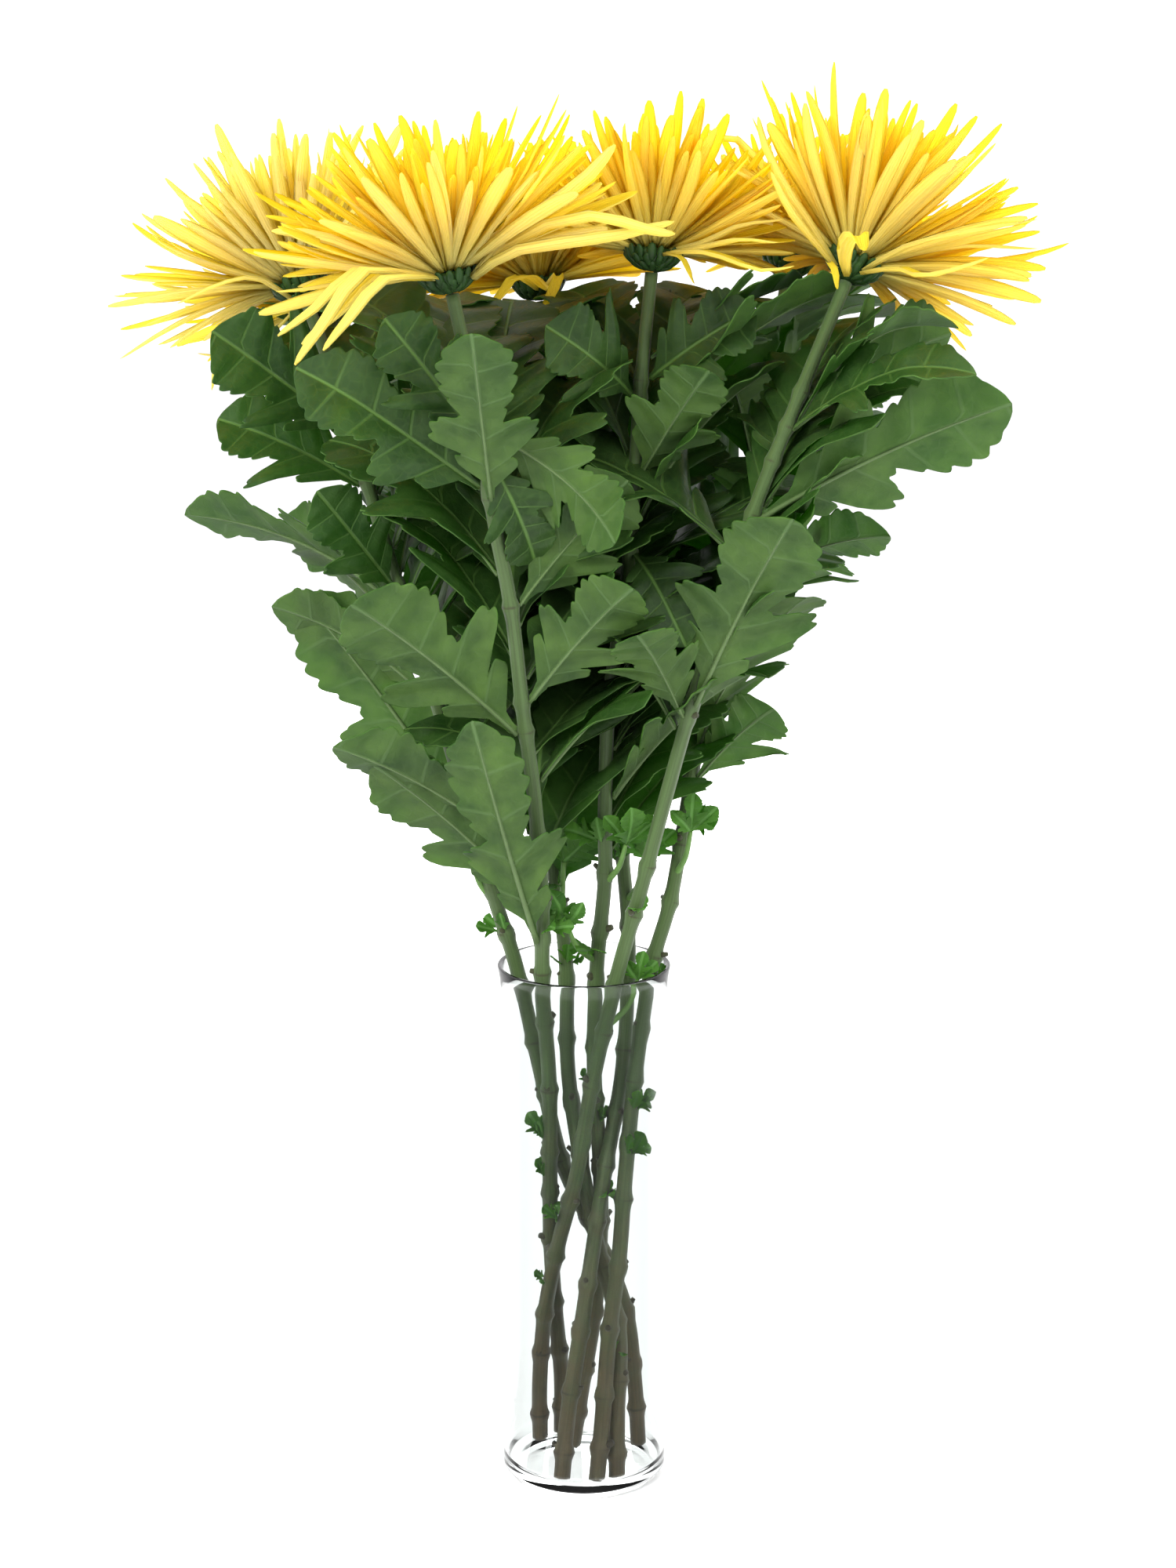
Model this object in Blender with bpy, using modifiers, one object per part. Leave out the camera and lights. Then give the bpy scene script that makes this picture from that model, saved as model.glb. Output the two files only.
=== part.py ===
"""Seven spider chrysanthemums on leafy stems, standing in a clear glass cylinder vase.

Metres, +Z up. The origin is the middle of the vase's underside, and -Y is the front.
"""

import math
import random
from typing import NamedTuple

import bmesh
import bpy
from mathutils import Matrix, Vector

# Vase
VASE_HEIGHT = 0.265
VASE_RADIUS = 0.041
VASE_WALL = 0.0025
VASE_FLOOR = 0.006
VASE_LIP_FLARE = 0.0015
VASE_LIP_DEPTH = 0.012
VASE_CORNER = 0.003
VASE_SIDES = 40

# Stems
STEM_FOOT_RADIUS = 0.0034
STEM_TOP_RADIUS = 0.0025
STEM_PIECES = 22

# Flower heads
CALYX_RADIUS = 0.0135
CALYX_DEPTH = 0.011
CALYX_SIDES = 12
CORE_RADIUS = 0.011
FLORET_LOWEST = -0.2
FLORET_TIP_SCALE = 0.45
FLORET_DROOP = 0.012
# A floret is drawn out in two lengths, and the shortest has this share of the longest's reach
FLORET_JOINTS = (0.5, 1.0)
SHORTEST_FLORET = 0.88
HEAD_CLEARANCE = 0.005

# Leaves
LEAF_THICKNESS = 0.0009
LEAF_FOLD = 0.3
STALK_START = 0.04
STALK_WIDTH = 0.12
STALK_GAP = 0.0002

# Touching pieces keep this gap
GAP = 0.0003

# Points of a turned profile that lie on its axis are merged
MERGE_DISTANCE = 0.00005

# Where the upper side of a leaf faces
UP = (0, 0, 1)
FRONT = (0, -1, 0.4)
BACK = (0, 1, 0.4)


class Leaf(NamedTuple):
    """One leaf: where its stalk leaves the stem, where its tip is, and where its upper side faces."""

    height: float
    tip: tuple
    faces: tuple
    width: float
    arch: float


class Stem(NamedTuple):
    """One stem: its centre line from the foot up, the length of its florets, and its leaves."""

    route: tuple
    floret: float
    leaves: tuple


STEMS = {
    "left": Stem(
        route=(
            (0.028, 0.014, 0.006),
            (0.026, 0.014, 0.040),
            (0.021, 0.014, 0.080),
            (0.006, 0.013, 0.120),
            (-0.011, 0.008, 0.160),
            (-0.022, 0.004, 0.210),
            (-0.033, 0.001, 0.262),
            (-0.044, -0.003, 0.300),
            (-0.056, -0.007, 0.345),
            (-0.070, -0.008, 0.395),
            (-0.086, -0.008, 0.445),
            (-0.099, -0.005, 0.490),
            (-0.112, 0.000, 0.535),
            (-0.130, 0.008, 0.584),
        ),
        floret=0.072,
        leaves=(
            Leaf(0.525, (-0.169, -0.034, 0.572), FRONT, 0.058, 0.004),
            Leaf(0.500, (-0.172, -0.002, 0.530), (0, -1, 0.8), 0.052, 0.006),
            Leaf(0.452, (-0.122, -0.042, 0.500), FRONT, 0.036, 0.002),
            Leaf(0.445, (-0.192, 0.020, 0.483), (0, 0.6, 1), 0.056, 0.010),
            Leaf(0.420, (-0.150, 0.062, 0.474), (-0.3, 0.8, 0.6), 0.050, 0.006),
            Leaf(0.345, (-0.136, 0.010, 0.445), BACK, 0.060, 0.006),
        ),
    ),
    "front_left": Stem(
        route=(
            (-0.012, 0.029, 0.006),
            (-0.012, 0.025, 0.040),
            (-0.015, 0.017, 0.080),
            (-0.017, 0.009, 0.120),
            (-0.017, -0.001, 0.160),
            (-0.017, -0.012, 0.210),
            (-0.020, -0.023, 0.262),
            (-0.020, -0.031, 0.305),
            (-0.023, -0.042, 0.355),
            (-0.028, -0.053, 0.400),
            (-0.033, -0.065, 0.450),
            (-0.040, -0.073, 0.490),
            (-0.046, -0.080, 0.535),
            (-0.057, -0.086, 0.590),
        ),
        floret=0.078,
        leaves=(
            Leaf(0.505, (-0.125, -0.082, 0.560), FRONT, 0.046, 0.004),
            Leaf(0.390, (-0.103, -0.092, 0.455), BACK, 0.066, 0.006),
            Leaf(0.405, (0.022, -0.090, 0.462), BACK, 0.046, 0.006),
            Leaf(0.325, (-0.115, -0.062, 0.385), (0, 1, 1), 0.052, 0.008),
            Leaf(0.285, (-0.050, -0.088, 0.402), BACK, 0.038, -0.004),
            Leaf(0.450, (0.020, -0.060, 0.507), BACK, 0.052, 0.004),
            Leaf(0.500, (-0.047, -0.128, 0.575), (0, 1, 0.2), 0.044, 0.000),
            Leaf(0.530, (-0.086, -0.096, 0.580), FRONT, 0.040, 0.004),
            Leaf(0.530, (0.014, -0.108, 0.484), BACK, 0.040, 0.014),
        ),
    ),
    "back_left": Stem(
        route=(
            (0.016, -0.027, 0.006),
            (0.016, -0.024, 0.040),
            (0.017, -0.015, 0.080),
            (0.007, -0.005, 0.120),
            (-0.001, -0.001, 0.160),
            (-0.008, 0.003, 0.210),
            (-0.009, 0.012, 0.262),
            (-0.014, 0.020, 0.300),
            (-0.021, 0.035, 0.347),
            (-0.041, 0.060, 0.414),
            (-0.073, 0.085, 0.482),
            (-0.105, 0.100, 0.536),
            (-0.124, 0.108, 0.575),
        ),
        floret=0.068,
        leaves=(
            Leaf(0.510, (-0.066, 0.040, 0.430), FRONT, 0.044, 0.010),
            Leaf(0.470, (-0.130, 0.140, 0.495), UP, 0.060, 0.002),
            Leaf(0.420, (-0.075, 0.148, 0.440), UP, 0.060, 0.008),
            Leaf(0.345, (-0.100, 0.095, 0.385), UP, 0.062, 0.012),
        ),
    ),
    "middle": Stem(
        route=(
            (-0.006, 0.012, 0.006),
            (-0.001, 0.010, 0.040),
            (0.005, 0.007, 0.080),
            (0.008, 0.004, 0.120),
            (0.008, 0.001, 0.160),
            (0.005, -0.004, 0.210),
            (0.006, -0.008, 0.262),
            (0.010, -0.012, 0.310),
            (0.010, -0.015, 0.345),
            (0.012, -0.018, 0.400),
            (0.020, -0.022, 0.455),
            (0.023, -0.024, 0.495),
            (0.026, -0.024, 0.545),
            (0.031, -0.020, 0.598),
        ),
        floret=0.068,
        leaves=(
            Leaf(0.542, (-0.017, -0.050, 0.575), FRONT, 0.046, 0.006),
            Leaf(0.550, (0.078, -0.034, 0.582), FRONT, 0.044, 0.006),
            Leaf(0.505, (0.056, -0.064, 0.556), BACK, 0.040, 0.004),
            Leaf(0.470, (0.047, -0.054, 0.430), FRONT, 0.036, 0.010),
        ),
    ),
    "back_middle": Stem(
        route=(
            (-0.011, -0.029, 0.006),
            (-0.008, -0.026, 0.040),
            (-0.002, -0.021, 0.080),
            (0.004, -0.014, 0.120),
            (0.010, -0.008, 0.160),
            (0.019, 0.004, 0.210),
            (0.022, 0.015, 0.262),
            (0.020, 0.028, 0.301),
            (0.012, 0.045, 0.365),
            (0.000, 0.062, 0.442),
            (-0.012, 0.076, 0.518),
            (-0.021, 0.083, 0.582),
        ),
        floret=0.068,
        leaves=(
            Leaf(0.520, (0.024, 0.045, 0.580), FRONT, 0.046, 0.006),
            Leaf(0.470, (0.025, 0.140, 0.510), UP, 0.060, 0.014),
            Leaf(0.400, (-0.015, 0.130, 0.420), UP, 0.060, 0.014),
            Leaf(0.385, (-0.010, 0.002, 0.342), FRONT, 0.030, 0.006),
        ),
    ),
    "back_right": Stem(
        route=(
            (0.006, -0.031, 0.006),
            (0.009, -0.029, 0.040),
            (0.012, -0.024, 0.080),
            (0.017, -0.018, 0.120),
            (0.020, -0.013, 0.160),
            (0.025, -0.006, 0.210),
            (0.033, 0.001, 0.262),
            (0.043, 0.010, 0.297),
            (0.054, 0.034, 0.355),
            (0.067, 0.055, 0.411),
            (0.083, 0.078, 0.483),
            (0.094, 0.090, 0.545),
            (0.101, 0.095, 0.593),
        ),
        floret=0.070,
        leaves=(
            Leaf(0.440, (0.150, 0.040, 0.470), (0, 1, 0.8), 0.050, 0.010),
            Leaf(0.350, (0.092, 0.010, 0.390), (0, 1, 0.3), 0.040, 0.006),
            Leaf(0.500, (0.105, 0.150, 0.540), UP, 0.060, 0.014),
            Leaf(0.400, (0.075, 0.130, 0.440), UP, 0.060, 0.014),
            Leaf(0.480, (0.168, 0.100, 0.520), UP, 0.058, 0.012),
        ),
    ),
    "right": Stem(
        route=(
            (-0.023, 0.021, 0.006),
            (-0.023, 0.016, 0.040),
            (-0.020, 0.008, 0.080),
            (-0.013, -0.001, 0.120),
            (-0.004, -0.014, 0.160),
            (0.004, -0.018, 0.210),
            (0.015, -0.024, 0.262),
            (0.026, -0.029, 0.305),
            (0.036, -0.032, 0.345),
            (0.048, -0.038, 0.392),
            (0.061, -0.045, 0.440),
            (0.078, -0.050, 0.494),
            (0.098, -0.046, 0.545),
            (0.119, -0.032, 0.594),
        ),
        floret=0.080,
        leaves=(
            Leaf(0.402, (0.092, -0.092, 0.493), BACK, 0.056, 0.006),
            Leaf(0.490, (0.190, -0.072, 0.542), BACK, 0.054, 0.008),
            Leaf(0.545, (0.170, -0.012, 0.570), BACK, 0.046, 0.004),
            Leaf(0.530, (0.165, -0.092, 0.565), (0, -0.6, 1), 0.042, 0.006),
            Leaf(0.515, (0.096, 0.000, 0.551), (0, 1, 0), 0.030, 0.004),
            Leaf(0.395, (0.024, -0.084, 0.440), BACK, 0.040, 0.006),
        ),
    ),
}

# The calyx's outer side from the top down, as (share of the radius, share of the depth)
CALYX_OUTLINE = (
    (1.0, 1.0),
    (0.9, 0.5),
    (0.5, 0.1),
)

# The blade's outline from the stalk to the tip, as (share of the length, share of half the width)
LEAF_OUTLINE = (
    (0.0, STALK_START),
    (0.07, STALK_WIDTH),
    (0.22, STALK_WIDTH),
    (0.36, 0.55),
    (0.50, 1.0),
    (0.62, 0.66),
    (0.74, 0.78),
    (0.88, 0.45),
    (1.0, 0.10),
)


def clear_scene():
    for old in list(bpy.data.objects):
        bpy.data.objects.remove(old, do_unlink=True)


def material(name, colour, roughness, transmission=0.0):
    """A Principled material of one plain colour."""
    made = bpy.data.materials.new(name)
    made.use_nodes = True
    shader = made.node_tree.nodes["Principled BSDF"]
    shader.inputs["Base Color"].default_value = (*colour, 1.0)
    shader.inputs["Roughness"].default_value = roughness
    shader.inputs["Metallic"].default_value = 0.0
    shader.inputs["Transmission Weight"].default_value = transmission
    return made


def add_object(name, data, collection, finish):
    made = bpy.data.objects.new(name, data)
    collection.objects.link(made)
    data.materials.append(finish)
    return made


def stem_line(route):
    """Points along a smooth curve through the route, about STEM_PIECES of them."""
    points = [Vector(p) for p in route]
    points = [2 * points[0] - points[1], *points, 2 * points[-1] - points[-2]]
    spans = len(points) - 3
    line = []
    for i in range(STEM_PIECES + 1):
        place = i * spans / STEM_PIECES
        k = min(int(place), spans - 1)
        t = place - k
        before, start, end, after = points[k : k + 4]
        line.append(
            start
            + (end - before) * (t / 2)
            + (2 * before - 5 * start + 4 * end - after) * (t * t / 2)
            + (3 * start - before - 3 * end + after) * (t**3 / 2)
        )
    return line


def stem_radius(height, top):
    return STEM_FOOT_RADIUS + (STEM_TOP_RADIUS - STEM_FOOT_RADIUS) * height / top


def raised_foot(line):
    """The line with its first point lifted, so that the cut end clears the vase's floor."""
    lean = (line[1] - line[0]).angle(Vector((0, 0, 1)))
    lifted = line[0].copy()
    lifted.z = VASE_FLOOR + GAP + STEM_FOOT_RADIUS * math.sin(lean)
    return [lifted, *line[1:]]


def place_at_height(line, height):
    """The point on the stem's centre line at this height, and the stem's direction there."""
    for low, high in zip(line, line[1:]):
        if low.z <= height <= high.z:
            place = low.lerp(high, (height - low.z) / (high.z - low.z))
            return place, (high - low).normalized()
    raise ValueError(f"the stem does not reach {height} m")


def make_vase(collection, finish):
    """A turned cylinder: up the inner wall, over the lip and down the outer wall."""
    inner = VASE_RADIUS - VASE_WALL
    lip_start = VASE_HEIGHT - VASE_LIP_DEPTH
    profile = [
        (0.0, VASE_FLOOR),
        (inner - VASE_CORNER, VASE_FLOOR),
        (inner, VASE_FLOOR + VASE_CORNER),
        (inner, lip_start),
        (inner + VASE_LIP_FLARE, VASE_HEIGHT),
        (VASE_RADIUS + VASE_LIP_FLARE, VASE_HEIGHT),
        (VASE_RADIUS, lip_start),
        (VASE_RADIUS, VASE_CORNER),
        (VASE_RADIUS - VASE_CORNER, 0.0),
        (0.0, 0.0),
    ]
    return turned_object("vase", profile, VASE_SIDES, collection, finish)


def turned_object(name, profile, sides, collection, finish):
    """A profile in the XZ plane, turned about Z."""
    shape = bmesh.new()
    verts = [shape.verts.new((radius, 0.0, height)) for radius, height in profile]
    for a, b in zip(verts, verts[1:]):
        shape.edges.new((a, b))
    mesh = bpy.data.meshes.new(name)
    shape.to_mesh(mesh)
    shape.free()
    made = add_object(name, mesh, collection, finish)
    screw = made.modifiers.new("turn", "SCREW")
    screw.steps = sides
    screw.render_steps = sides
    screw.use_merge_vertices = True
    screw.merge_threshold = MERGE_DISTANCE
    return made


def make_stem(name, line, collection, finish):
    """A tube that narrows from the foot to the flower."""
    curve = bpy.data.curves.new(name, "CURVE")
    curve.dimensions = "3D"
    curve.bevel_depth = STEM_FOOT_RADIUS
    curve.bevel_resolution = 2
    curve.use_fill_caps = True
    spline = curve.splines.new("POLY")
    spline.points.add(len(line) - 1)
    top = line[-1].z
    for point, place in zip(spline.points, line):
        point.co = (*place, 1.0)
        point.radius = stem_radius(place.z, top) / STEM_FOOT_RADIUS
    return add_object(name, curve, collection, finish)


def head_frame(line):
    """The matrix that puts a flower head's +Z along the stem's upper end."""
    axis = (line[-1] - line[-2]).normalized()
    seat = line[-1] + axis * GAP
    return Matrix.Translation(seat) @ axis.to_track_quat("Z", "Y").to_matrix().to_4x4()


def make_calyx(name, frame, collection, finish):
    """A shallow cup on the end of the stem."""
    profile = [
        (0.0, CALYX_DEPTH),
        *((CALYX_RADIUS * out, CALYX_DEPTH * up) for out, up in CALYX_OUTLINE),
        (STEM_TOP_RADIUS, 0.0),
        (0.0, 0.0),
    ]
    calyx = turned_object(name, profile, CALYX_SIDES, collection, finish)
    calyx.matrix_world = frame
    return calyx


def share_inside(point, centre, others):
    """How much of the way from the centre to the point stays on this head's own side."""
    share = 1.0
    for other in others:
        apart = other - centre
        limit = apart.length / 2 - HEAD_CLEARANCE
        reach = (point - centre).dot(apart.normalized())
        if reach > limit:
            share = min(share, limit / reach)
    return share


def make_florets(name, frame, length, others, collection, finish):
    """One core with a long tapering floret drawn out of each of its upper faces."""
    draw = random.Random(name)
    shape = bmesh.new()
    bmesh.ops.create_icosphere(shape, subdivisions=2, radius=CORE_RADIUS)
    shape.normal_update()
    centre = frame @ Vector((0, 0, CALYX_DEPTH + GAP + CORE_RADIUS))
    turn = frame.to_quaternion()
    for face in [f for f in shape.faces if f.normal.z > FLORET_LOWEST]:
        outward = turn @ face.calc_center_median().normalized()
        reach = length * draw.uniform(SHORTEST_FLORET, 1.0)
        droop = Vector((0, 0, -FLORET_DROOP * (1.0 - outward.z)))
        for part in FLORET_JOINTS:
            target = outward * reach * part + droop * part * part
            target *= share_inside(centre + target, centre, others)
            drawn = bmesh.ops.extrude_discrete_faces(shape, faces=[face])["faces"][0]
            middle = drawn.calc_center_median()
            target = turn.inverted() @ target
            narrow = FLORET_TIP_SCALE if part == 1.0 else 1.0
            for vert in drawn.verts:
                vert.co = target + (vert.co - middle) * narrow
            face = drawn
    mesh = bpy.data.meshes.new(name)
    shape.to_mesh(mesh)
    shape.free()
    florets = add_object(name, mesh, collection, finish)
    florets.matrix_world = Matrix.Translation(centre) @ turn.to_matrix().to_4x4()
    return florets


def make_leaf(name, leaf, line, collection, finish):
    """A folded strip from the stem to the leaf's tip, as wide as the blade at each place."""
    centre, upward = place_at_height(line, leaf.height)
    tip = Vector(leaf.tip)
    along = (tip - centre).normalized()
    across = along.cross(Vector(leaf.faces)).normalized()
    upper = across.cross(along)
    away = (along - upward * along.dot(upward)).normalized()
    stalk_reach = leaf.width / 2 * STALK_START * abs(across.dot(away))
    stand_off = stem_radius(leaf.height, line[-1].z) + LEAF_THICKNESS / 2 + STALK_GAP
    start = centre + away * (stand_off + stalk_reach)
    rows = len(LEAF_OUTLINE)
    shape = bmesh.new()
    bmesh.ops.create_grid(shape, x_segments=2, y_segments=rows - 1, size=1.0)
    for vert in shape.verts:
        side = vert.co.x
        row = round((vert.co.y + 1) / 2 * (rows - 1))
        share, breadth = LEAF_OUTLINE[row]
        half = leaf.width / 2 * breadth
        vert.co = (
            start.lerp(tip, share)
            + across * (side * half)
            + upper * (4 * leaf.arch * share * (1 - share) + abs(side) * half * LEAF_FOLD)
        )
    mesh = bpy.data.meshes.new(name)
    shape.to_mesh(mesh)
    shape.free()
    made = add_object(name, mesh, collection, finish)
    thicken = made.modifiers.new("thickness", "SOLIDIFY")
    thicken.thickness = LEAF_THICKNESS
    thicken.offset = 0.0
    return made


def main():
    clear_scene()
    collection = bpy.data.collections.new("spider_chrysanthemums_in_vase")
    bpy.context.scene.collection.children.link(collection)
    glass = material("clear glass", (0.92, 0.96, 0.94), 0.03, transmission=1.0)
    green_stem = material("green stem", (0.11, 0.17, 0.06), 0.6)
    green_calyx = material("green calyx", (0.06, 0.12, 0.03), 0.6)
    green_leaf = material("green leaf", (0.05, 0.12, 0.04), 0.55)
    yellow_floret = material("yellow floret", (0.95, 0.72, 0.08), 0.5)

    make_vase(collection, glass)
    lines = {name: raised_foot(stem_line(stem.route)) for name, stem in STEMS.items()}
    frames = {name: head_frame(line) for name, line in lines.items()}
    rise = Vector((0, 0, CALYX_DEPTH + GAP + CORE_RADIUS))
    centres = {name: frame @ rise for name, frame in frames.items()}
    for name, stem in STEMS.items():
        line = lines[name]
        others = [centre for other, centre in centres.items() if other != name]
        make_stem(f"stem_{name}", line, collection, green_stem)
        make_calyx(f"calyx_{name}", frames[name], collection, green_calyx)
        make_florets(
            f"florets_{name}", frames[name], stem.floret, others, collection, yellow_floret
        )
        for number, leaf in enumerate(stem.leaves, start=1):
            make_leaf(f"leaf_{name}_{number}", leaf, line, collection, green_leaf)


main()
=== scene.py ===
"""Seven spider chrysanthemums in a clear glass cylinder vase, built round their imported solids.

Metres, +Z up. The origin is the middle of the vase's underside, and -Y is the front.
"""

import math
import random
from typing import NamedTuple

import bmesh
import bpy
from mathutils import Matrix, Vector


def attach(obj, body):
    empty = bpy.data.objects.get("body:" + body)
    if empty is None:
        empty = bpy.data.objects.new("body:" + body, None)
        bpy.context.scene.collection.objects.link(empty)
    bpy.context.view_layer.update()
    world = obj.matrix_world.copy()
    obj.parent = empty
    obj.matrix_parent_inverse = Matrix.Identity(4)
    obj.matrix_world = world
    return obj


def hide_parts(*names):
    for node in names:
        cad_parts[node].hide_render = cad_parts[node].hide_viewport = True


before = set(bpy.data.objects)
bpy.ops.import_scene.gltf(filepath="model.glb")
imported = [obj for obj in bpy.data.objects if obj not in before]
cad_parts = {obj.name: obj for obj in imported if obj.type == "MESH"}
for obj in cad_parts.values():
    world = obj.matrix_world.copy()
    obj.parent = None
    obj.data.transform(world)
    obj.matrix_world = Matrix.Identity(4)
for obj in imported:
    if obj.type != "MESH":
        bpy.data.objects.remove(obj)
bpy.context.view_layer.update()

bl_info = {
    "name": "Spider chrysanthemums in a glass vase",
    "version": (1, 0, 0),
    "blender": (4, 5, 0),
    "location": "View3D > Sidebar > Bunch",
    "description": "Leafy spider chrysanthemums standing in a clear glass cylinder",
    "category": "Add Mesh",
}

# Vase
VASE_HEIGHT = 0.265
VASE_RADIUS = 0.041
VASE_FLOOR = 0.006
VASE_LIP_FLARE = 0.0015
VASE_LIP_DEPTH = 0.012
VASE_SIDES = 128
VASE_LIP_THINNING = 0.0004
# How far the floor is sunk in the middle, and how it meets the wall: (how far in, above VASE_FLOOR)
VASE_SUNK = 0.0006
VASE_CORNER = ((0.006, -0.0004), (0.0015, 0.0010), (0.0, 0.005))
# The vase stands on a ring round its raised underside: (how far in, how high)
VASE_FOOT = ((0.0, 0.004), (0.003, 0.0), (0.007, 0.0), (0.012, 0.0008))
VASE_PUNT = 0.0014

# Stems
STEM_FOOT_RADIUS = 0.0034
STEM_TOP_RADIUS = 0.0025
# The bark stands this much proud of the solid
STEM_FULLNESS = 1.17
STEM_ROWS = 170
STEM_SIDES = 14
STEM_RIBS = 7
RIB_RISE = 0.05
# The lowest node is this high, or up to so much higher
FIRST_NODE = 0.018
FIRST_NODE_RANGE = 0.010
# A node swells over this length to each side
NODE_REACH = 0.0026
# Nodes without a leaf go up to here, and nodes with a cut stub up to here
BARE_HIGHEST = 0.34
STUBS_HIGHEST = 0.40
STUB_LENGTHS = (0.0050, 0.0078)
STUB_RADII = (0.0014, 0.0022)

# Flower heads
CALYX_RADIUS = 0.0135
CALYX_DEPTH = 0.011
CORE_RADIUS = 0.011
# The cup under the bracts, from its top down: (share of the radius, share of the depth)
CUP = ((0.0, 0.86), (0.80, 0.94), (0.90, 0.80), (0.80, 0.48), (0.55, 0.20))
# Rows of bracts from the stem outwards: (how many, how far out, how high, degrees of lean)
BRACTS = ((10, 0.0066, 0.0022, 66), (13, 0.0102, 0.0048, 46), (16, 0.0124, 0.0082, 26))
BRACT_SIZE = (0.0012, 0.0020, 0.0038)
GOLDEN_ANGLE = math.radians(137.50776)

# Leaves
LEAF_ROWS = 96
LEAF_FOLD = 0.3
# The stalk starts this far out and is this wide, as shares of the blade's half width
STALK_START = 0.04
STALK_WIDTH = 0.12
LEAST_STALK = 0.0009
CAD_LEAF_THICKNESS = 0.0009
STALK_GAP = 0.0002
# Side veins, as shares of the length: how far apart, and where the first one starts
VEIN_SPACING = 0.2
VEIN_START = 0.2

# How bright the room is in reflections, as a share of its light
ROOM_REFLECTION = 0.12
# How much of the light from behind comes from the front
FRONT_LIGHT = 0.5

# Stage
FLOOR_RADIUS = 12.0
FLOOR_GAP = 0.0002
# Softboxes: (name, place, side, watts)
SOFTBOXES = (
    ("key softbox", (-1.3, -1.7, 1.7), 1.2, 92.0),
    ("fill softbox", (1.6, -1.4, 0.9), 1.2, 34.0),
    ("back softbox", (0.3, 2.0, 1.0), 2.0, 50.0),
)
LIT_PLACE = (0, 0, 0.45)
# Camera: place, degrees below level, and focal length in mm
CAMERA_PLACE = (0.002, -1.280, 0.622)
CAMERA_DOWN = 11.8
CAMERA_LENS = 62.1

# Touching pieces keep this gap
GAP = 0.0003
# Points closer than this are one
MERGE_DISTANCE = 0.000001

# Where the upper side of a leaf faces
UP = (0, 0, 1)
FRONT = (0, -1, 0.4)
BACK = (0, 1, 0.4)

# Where the inner side of a folded floret that hangs over faces
DROOP = (0.3, 0.4, -0.7)


class Leaf(NamedTuple):
    """One leaf: where its stalk starts, where its tip is, where its upper side faces, and its bends."""

    height: float
    tip: tuple
    faces: tuple
    width: float
    arch: float
    hook: float = 0.0
    twist: float = 0.0
    fold: float = LEAF_FOLD


class Stem(NamedTuple):
    """One stem: its centre line from the foot up, the length of its florets, and its leaves."""

    route: tuple
    floret: float
    leaves: tuple


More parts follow.
